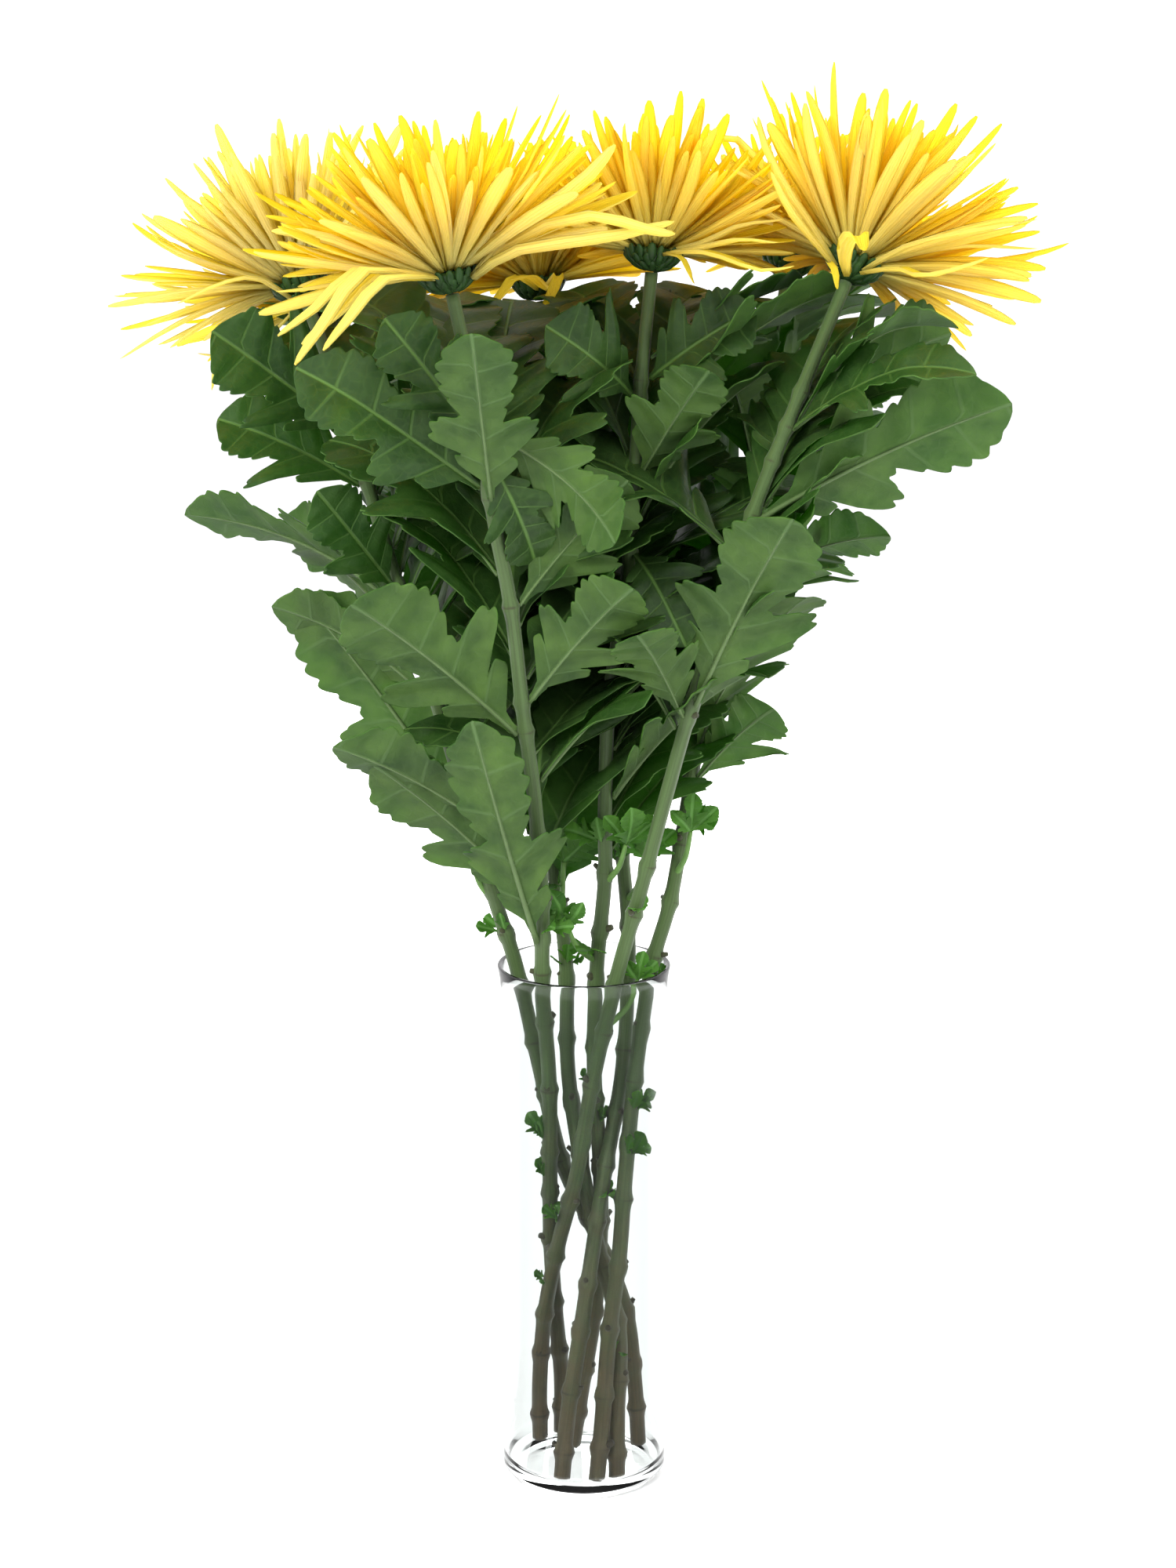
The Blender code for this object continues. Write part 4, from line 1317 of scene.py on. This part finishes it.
class BUNCH_OT_stems(bpy.types.Operator):
    """Grow the ribbed stems with their nodes and cut stubs"""

    bl_idname = "bunch.stems"
    bl_label = "Stems"

    def execute(self, context):
        settings = context.scene.bunch_stems
        material = stem_material(settings)
        for name, stem in STEMS.items():
            draw = random.Random("stem " + name)
            line = stem_line(stem.route)
            top = line[-1].z
            nodes = [leaf.height for leaf in stem.leaves]
            height = FIRST_NODE + draw.uniform(0, FIRST_NODE_RANGE)
            while height < BARE_HIGHEST:
                nodes.append(height)
                height += settings.node_gap * draw.uniform(0.75, 1.25)
            shape = bmesh.new()
            # The tube's own map goes to the first layer
            shape.loops.layers.uv.new("stem")
            ring = shape.loops.layers.uv.new("node")

            def radius_at(row, turn):
                here = line[row].z
                swell = sum(math.exp(-(((here - node) / NODE_REACH) ** 2)) for node in nodes)
                rib = RIB_RISE * math.cos(turn * STEM_RIBS * math.tau)
                return STEM_FULLNESS * stem_radius(here, top) * (
                    1 + rib + settings.swelling * min(swell, 1.2)
                )

            add_tube(shape, line, radius_at, STEM_SIDES)
            for face in shape.faces:
                for loop in face.loops:
                    # In centimetres from the nearest node
                    apart = min(abs(loop.vert.co.z - node) for node in nodes)
                    loop[ring].uv = (apart * 100, 0.0)
            for number, node in enumerate(nodes):
                if node > STUBS_HIGHEST:
                    continue
                place, upward = place_at_height(line, node)
                angle = number * GOLDEN_ANGLE + draw.uniform(-0.3, 0.3)
                aside = Vector((math.cos(angle), math.sin(angle), 0))
                aside = (aside - upward * aside.dot(upward)).normalized()
                way = (aside + upward * draw.uniform(0.3, 1.0)).normalized()
                long = draw.uniform(*STUB_LENGTHS)
                stub = [place + way * (long * i / 3) for i in range(4)]
                girth = draw.uniform(*STUB_RADII)
                add_tube(shape, stub, lambda row, turn: girth * (1.15, 1.0, 0.95, 0.7)[row], 7)
            close_ends(shape)
            add_piece(f"ribbed_stem_{name}", shape, [material], [f"stem_{name}"])
        return {"FINISHED"}


class BUNCH_OT_leaves(bpy.types.Operator):
    """Set the lobed leaves on the stems"""

    bl_idname = "bunch.leaves"
    bl_label = "Leaves"

    def execute(self, context):
        settings = context.scene.bunch_leaves
        materials = leaf_materials(settings)
        lines = {name: stem_line(stem.route) for name, stem in STEMS.items()}
        placed = []
        for name, stem in STEMS.items():
            for leaf in (*stem.leaves, *EXTRA_LEAVES.get(name, ())):
                placed += blade_marks(place_at_height(lines[name], leaf.height)[0], Vector(leaf.tip))
        for name, stem in STEMS.items():
            line = lines[name]
            for number, leaf in enumerate(stem.leaves, start=1):
                self.make(f"{name}_{number}", leaf, line, settings, materials, [f"leaf_{name}_{number}"])
            shape = bmesh.new()
            layer = shape.loops.layers.uv.new("blade")
            draw = random.Random("leaves inside " + name)
            for leaf in (*EXTRA_LEAVES.get(name, ()), *inner_leaves(name, line, placed)):
                add_leaf(shape, layer, leaf_axes(leaf, line), leaf, settings.thickness, draw, INNER_ROWS)
            close_ends(shape)
            add_piece(f"inner_leaves_{name}", shape, materials)
        return {"FINISHED"}

    def make(self, name, leaf, line, settings, materials, replaced):
        shape = bmesh.new()
        layer = shape.loops.layers.uv.new("blade")
        axes = leaf_axes(leaf, line)
        add_leaf(shape, layer, axes, leaf, settings.thickness, random.Random("leaf " + name))
        close_ends(shape)
        add_piece(f"lobed_leaf_{name}", shape, materials, replaced)


class BUNCH_OT_shoots(bpy.types.Operator):
    """Let young shoots of three leaves each open at the nodes"""

    bl_idname = "bunch.shoots"
    bl_label = "Young shoots"

    def execute(self, context):
        settings = context.scene.bunch_leaves
        materials = young_leaf_materials(settings)
        draw = random.Random("shoots")
        for name, stem in STEMS.items():
            line = stem_line(stem.route)
            shape = bmesh.new()
            layer = shape.loops.layers.uv.new("blade")
            for height, degrees, length in SHOOTS.get(name, ()):
                place, _ = place_at_height(line, height)
                for turn, share in ((0, 1.0), (-50, 0.8), (45, 0.65)):
                    angle = math.radians(degrees + turn + draw.uniform(-12, 12))
                    aside = Vector((math.cos(angle), math.sin(angle), draw.uniform(0.0, 1.4)))
                    tip = place + aside.normalized() * (length * share + 0.004)
                    leaf = Leaf(
                        height, tuple(tip), (draw.uniform(-0.5, 0.5), -1, draw.uniform(0.3, 1.2)),
                        length * share * 0.8, 0.0, hook=length * draw.uniform(-0.1, 0.25),
                    )
                    add_leaf(shape, layer, leaf_axes(leaf, line), leaf, SHOOT_THICKNESS, draw, SHOOT_ROWS)
            for height, end, length in SIDE_SHOOTS.get(name, ()):
                place, _ = place_at_height(line, height)
                add_side_shoot(shape, layer, place, Vector(end), length, draw)
            close_ends(shape)
            add_piece(f"young_shoots_{name}", shape, materials)
        return {"FINISHED"}


class BUNCH_OT_flowers(bpy.types.Operator):
    """Fill the flower heads with florets and put the bracts under them"""

    bl_idname = "bunch.flowers"
    bl_label = "Flower heads"

    def execute(self, context):
        settings = context.scene.bunch_flowers
        petal = floret_material(settings)
        bract = calyx_material()
        frames = {name: head_frame(stem_line(stem.route)) for name, stem in STEMS.items()}
        rise = Vector((0, 0, CALYX_DEPTH + GAP + CORE_RADIUS))
        centres = {name: matrix @ rise for name, matrix in frames.items()}
        for name, stem in STEMS.items():
            others = [centre for other, centre in centres.items() if other != name]
            shape = bmesh.new()
            layers = [shape.loops.layers.uv.new(title) for title in ("strap", "tone")]
            add_head(shape, layers, name, frames[name], centres[name], others, settings, stem.floret)
            close_ends(shape)
            add_piece(f"ray_florets_{name}", shape, [petal], [f"florets_{name}"])
            shape = bmesh.new()
            add_calyx(shape, frames[name], random.Random("calyx " + name))
            add_piece(f"bract_cup_{name}", shape, [bract], [f"calyx_{name}"])
        return {"FINISHED"}


def add_floor(settings):
    """A wide round sheet of paper, just under the vase and left out of its reflections."""
    shape = bmesh.new()
    bmesh.ops.create_circle(shape, cap_ends=True, segments=64, radius=FLOOR_RADIUS)
    mesh = bpy.data.meshes.new("floor")
    shape.to_mesh(mesh)
    shape.free()
    mesh.materials.append(floor_material(settings))
    floor = add_object("floor", mesh)
    floor.location.z = -FLOOR_GAP
    floor.visible_glossy = False
    floor.visible_transmission = False


def surround_world(settings):
    """White light all round, less of it from the front, and a darker room in reflections."""
    world = bpy.data.worlds.new("white surround")
    world.use_nodes = True
    tree = world.node_tree
    backdrop = tree.nodes["Background"]
    backdrop.inputs["Color"].default_value = (1.0, 1.0, 1.0, 1.0)
    # Reflections find the room dark towards the front, as in a studio that is lit from behind
    rays = add_node(tree, "ShaderNodeLightPath").node.outputs
    way = add_node(tree, "ShaderNodeTexCoord")
    way = add_node(tree, "ShaderNodeSeparateXYZ", inputs={0: way}).node.outputs
    front = ramp(tree, way[1], 0.1, 0.7, 1.0, 0.0)
    # Only a band from the table's height down, which the upright glass mirrors
    above = maths(tree, "ABSOLUTE", maths(tree, "ADD", way[2], 0.36))
    band = ramp(tree, above, 0.14, 0.24, 1.0, 0.0)
    shade = maths(tree, "MULTIPLY", front, band)
    mirrored = maths(tree, "MULTIPLY", rays["Glossy Depth"], shade, clamped=True)
    # The light itself comes from the back more than from the front
    lit = ramp(tree, way[1], -0.6, 0.2, FRONT_LIGHT * settings.surround, settings.surround)
    bounced = maths(tree, "MULTIPLY", rays["Diffuse Depth"], 1.0, clamped=True)
    shone = add_node(tree, "ShaderNodeMix", inputs={0: bounced, 2: settings.surround, 3: lit})
    strength = ramp(
        tree, mirrored, 0.0, 1.0, shone, ROOM_REFLECTION * settings.surround, "LINEAR"
    )
    tree.links.new(strength, backdrop.inputs["Strength"])
    return world


def add_softbox(name, place, size, watts):
    """A square lamp that faces the bunch and is left out of its reflections."""
    lamp = bpy.data.lights.new(name, "AREA")
    lamp.energy = watts
    lamp.size = size
    light = add_object(name, lamp)
    light.location = place
    light.visible_glossy = False
    light.rotation_euler = (Vector(LIT_PLACE) - Vector(place)).to_track_quat("-Z", "Y").to_euler()


def add_camera():
    """The camera at the photograph's place, looking down a little."""
    lens = bpy.data.cameras.new("camera")
    lens.lens = CAMERA_LENS
    camera = add_object("camera", lens)
    camera.location = CAMERA_PLACE
    camera.rotation_euler = (math.radians(90 - CAMERA_DOWN), 0, 0)
    return camera


class BUNCH_OT_stage(bpy.types.Operator):
    """Lay the white floor, light it softly and set up the camera"""

    bl_idname = "bunch.stage"
    bl_label = "Stage"

    def execute(self, context):
        settings = context.scene.bunch_stage
        add_floor(settings)
        context.scene.world = surround_world(settings)
        context.scene.view_settings.view_transform = "Standard"
        for softbox in SOFTBOXES:
            add_softbox(*softbox)
        context.scene.camera = add_camera()
        return {"FINISHED"}


class BUNCH_PT_panel(bpy.types.Panel):
    """The pieces of the bunch, in the 3D view's sidebar."""

    bl_label = "Chrysanthemum bunch"
    bl_idname = "BUNCH_PT_panel"
    bl_space_type = "VIEW_3D"
    bl_region_type = "UI"
    bl_category = "Bunch"

    def draw(self, context):
        for operator, group in PANEL_ROWS:
            box = self.layout.box()
            box.operator(operator.bl_idname)
            settings = getattr(context.scene, group)
            for name in settings.__annotations__:
                box.prop(settings, name)


GROUPS = {
    "bunch_vase": VaseSettings,
    "bunch_stems": StemSettings,
    "bunch_leaves": LeafSettings,
    "bunch_flowers": FlowerSettings,
    "bunch_stage": StageSettings,
}
PANEL_ROWS = (
    (BUNCH_OT_glass_vase, "bunch_vase"),
    (BUNCH_OT_stems, "bunch_stems"),
    (BUNCH_OT_leaves, "bunch_leaves"),
    (BUNCH_OT_shoots, "bunch_leaves"),
    (BUNCH_OT_flowers, "bunch_flowers"),
    (BUNCH_OT_stage, "bunch_stage"),
)
CLASSES = (*GROUPS.values(), *(row[0] for row in PANEL_ROWS), BUNCH_PT_panel)


def register():
    for kind in CLASSES:
        bpy.utils.register_class(kind)
    for name, group in GROUPS.items():
        setattr(bpy.types.Scene, name, bpy.props.PointerProperty(type=group))


def unregister():
    for name in GROUPS:
        delattr(bpy.types.Scene, name)
    for kind in reversed(CLASSES):
        bpy.utils.unregister_class(kind)


def main():
    register()
    bpy.ops.bunch.glass_vase()
    bpy.ops.bunch.stems()
    bpy.ops.bunch.leaves()
    bpy.ops.bunch.shoots()
    bpy.ops.bunch.flowers()
    bpy.ops.bunch.stage()


if __name__ == "__main__":
    main()
